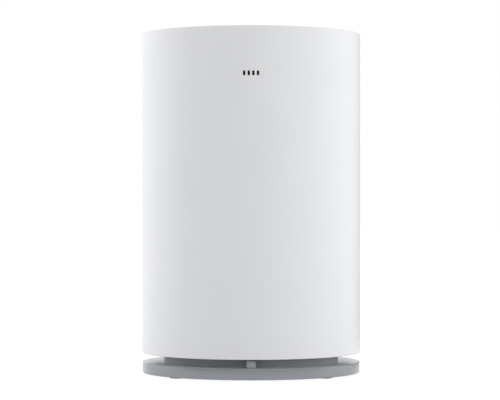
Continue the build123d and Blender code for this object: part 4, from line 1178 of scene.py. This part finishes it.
class PURIFIER_OT_stage(bpy.types.Operator):
    """Makes the white floor, the soft boxes, the grey cards and the camera"""

    bl_idname = "purifier.stage"
    bl_label = "Stage"

    def execute(self, context):
        scene, stage = context.scene, context.scene.purifier_stage
        scene.view_settings.view_transform = "Standard"
        scene.world = studio_world(stage.ambient)
        mesh_data = bmesh.new()
        bmesh.ops.create_grid(mesh_data, x_segments=2, y_segments=2, size=FLOOR_SIZE / 2.0)
        finish_mesh("floor", mesh_data, floor_material())
        soft_box("left_box", azimuth=-98, power=stage.left_light)
        soft_box("right_box", azimuth=71, power=stage.right_light)
        card("front_card", azimuths=(-62, 58), distance=2.6, heights=(0.0, 2.4), tone=stage.front_card)
        card("side_card", azimuths=(104, 147), distance=0.38, heights=(0.0, 1.2), tone=stage.side_card)
        camera_data = bpy.data.cameras.new("camera")
        camera_data.lens = stage.focal_length
        camera_data.sensor_width = SENSOR_MM
        camera_data.shift_x, camera_data.shift_y = stage.shift_x, stage.shift_y
        camera = bpy.data.objects.new("camera", camera_data)
        camera.location = (0.0, -stage.camera_distance, stage.camera_height)
        camera.rotation_euler = (math.radians(90), 0.0, 0.0)
        scene.collection.objects.link(camera)
        scene.camera = camera
        return {"FINISHED"}


# Panel and registration

STEPS = (
    PURIFIER_OT_cover,
    PURIFIER_OT_base,
    PURIFIER_OT_neck,
    PURIFIER_OT_tab,
    PURIFIER_OT_filter,
    PURIFIER_OT_frame,
    PURIFIER_OT_electrics,
    PURIFIER_OT_controls,
    PURIFIER_OT_stage,
)
GROUPS = {
    "purifier_sizes": PurifierSizes,
    "purifier_finishes": PurifierFinishes,
    "purifier_stage": PurifierStage,
}


class PURIFIER_PT_build(bpy.types.Panel):
    """Lists the steps that dress the purifier, and the values that they use"""

    bl_idname = "PURIFIER_PT_build"
    bl_label = "Air Purifier"
    bl_space_type = "VIEW_3D"
    bl_region_type = "UI"
    bl_category = "Purifier"

    def draw(self, context):
        for step in STEPS:
            self.layout.operator(step.bl_idname)
        for pointer, group in GROUPS.items():
            box = self.layout.box()
            for name in group.__annotations__:
                box.prop(getattr(context.scene, pointer), name)


CLASSES = (*GROUPS.values(), *STEPS, PURIFIER_PT_build)


def register():
    for kind in CLASSES:
        bpy.utils.register_class(kind)
    for pointer, group in GROUPS.items():
        setattr(bpy.types.Scene, pointer, bpy.props.PointerProperty(type=group))


def unregister():
    for pointer in GROUPS:
        delattr(bpy.types.Scene, pointer)
    for kind in reversed(CLASSES):
        bpy.utils.unregister_class(kind)


def main():
    register()
    bpy.ops.purifier.cover()
    bpy.ops.purifier.base()
    bpy.ops.purifier.neck()
    bpy.ops.purifier.tab()
    bpy.ops.purifier.filter()
    bpy.ops.purifier.frame()
    bpy.ops.purifier.electrics()
    bpy.ops.purifier.controls()
    bpy.ops.purifier.stage()


if __name__ == "__main__":
    main()
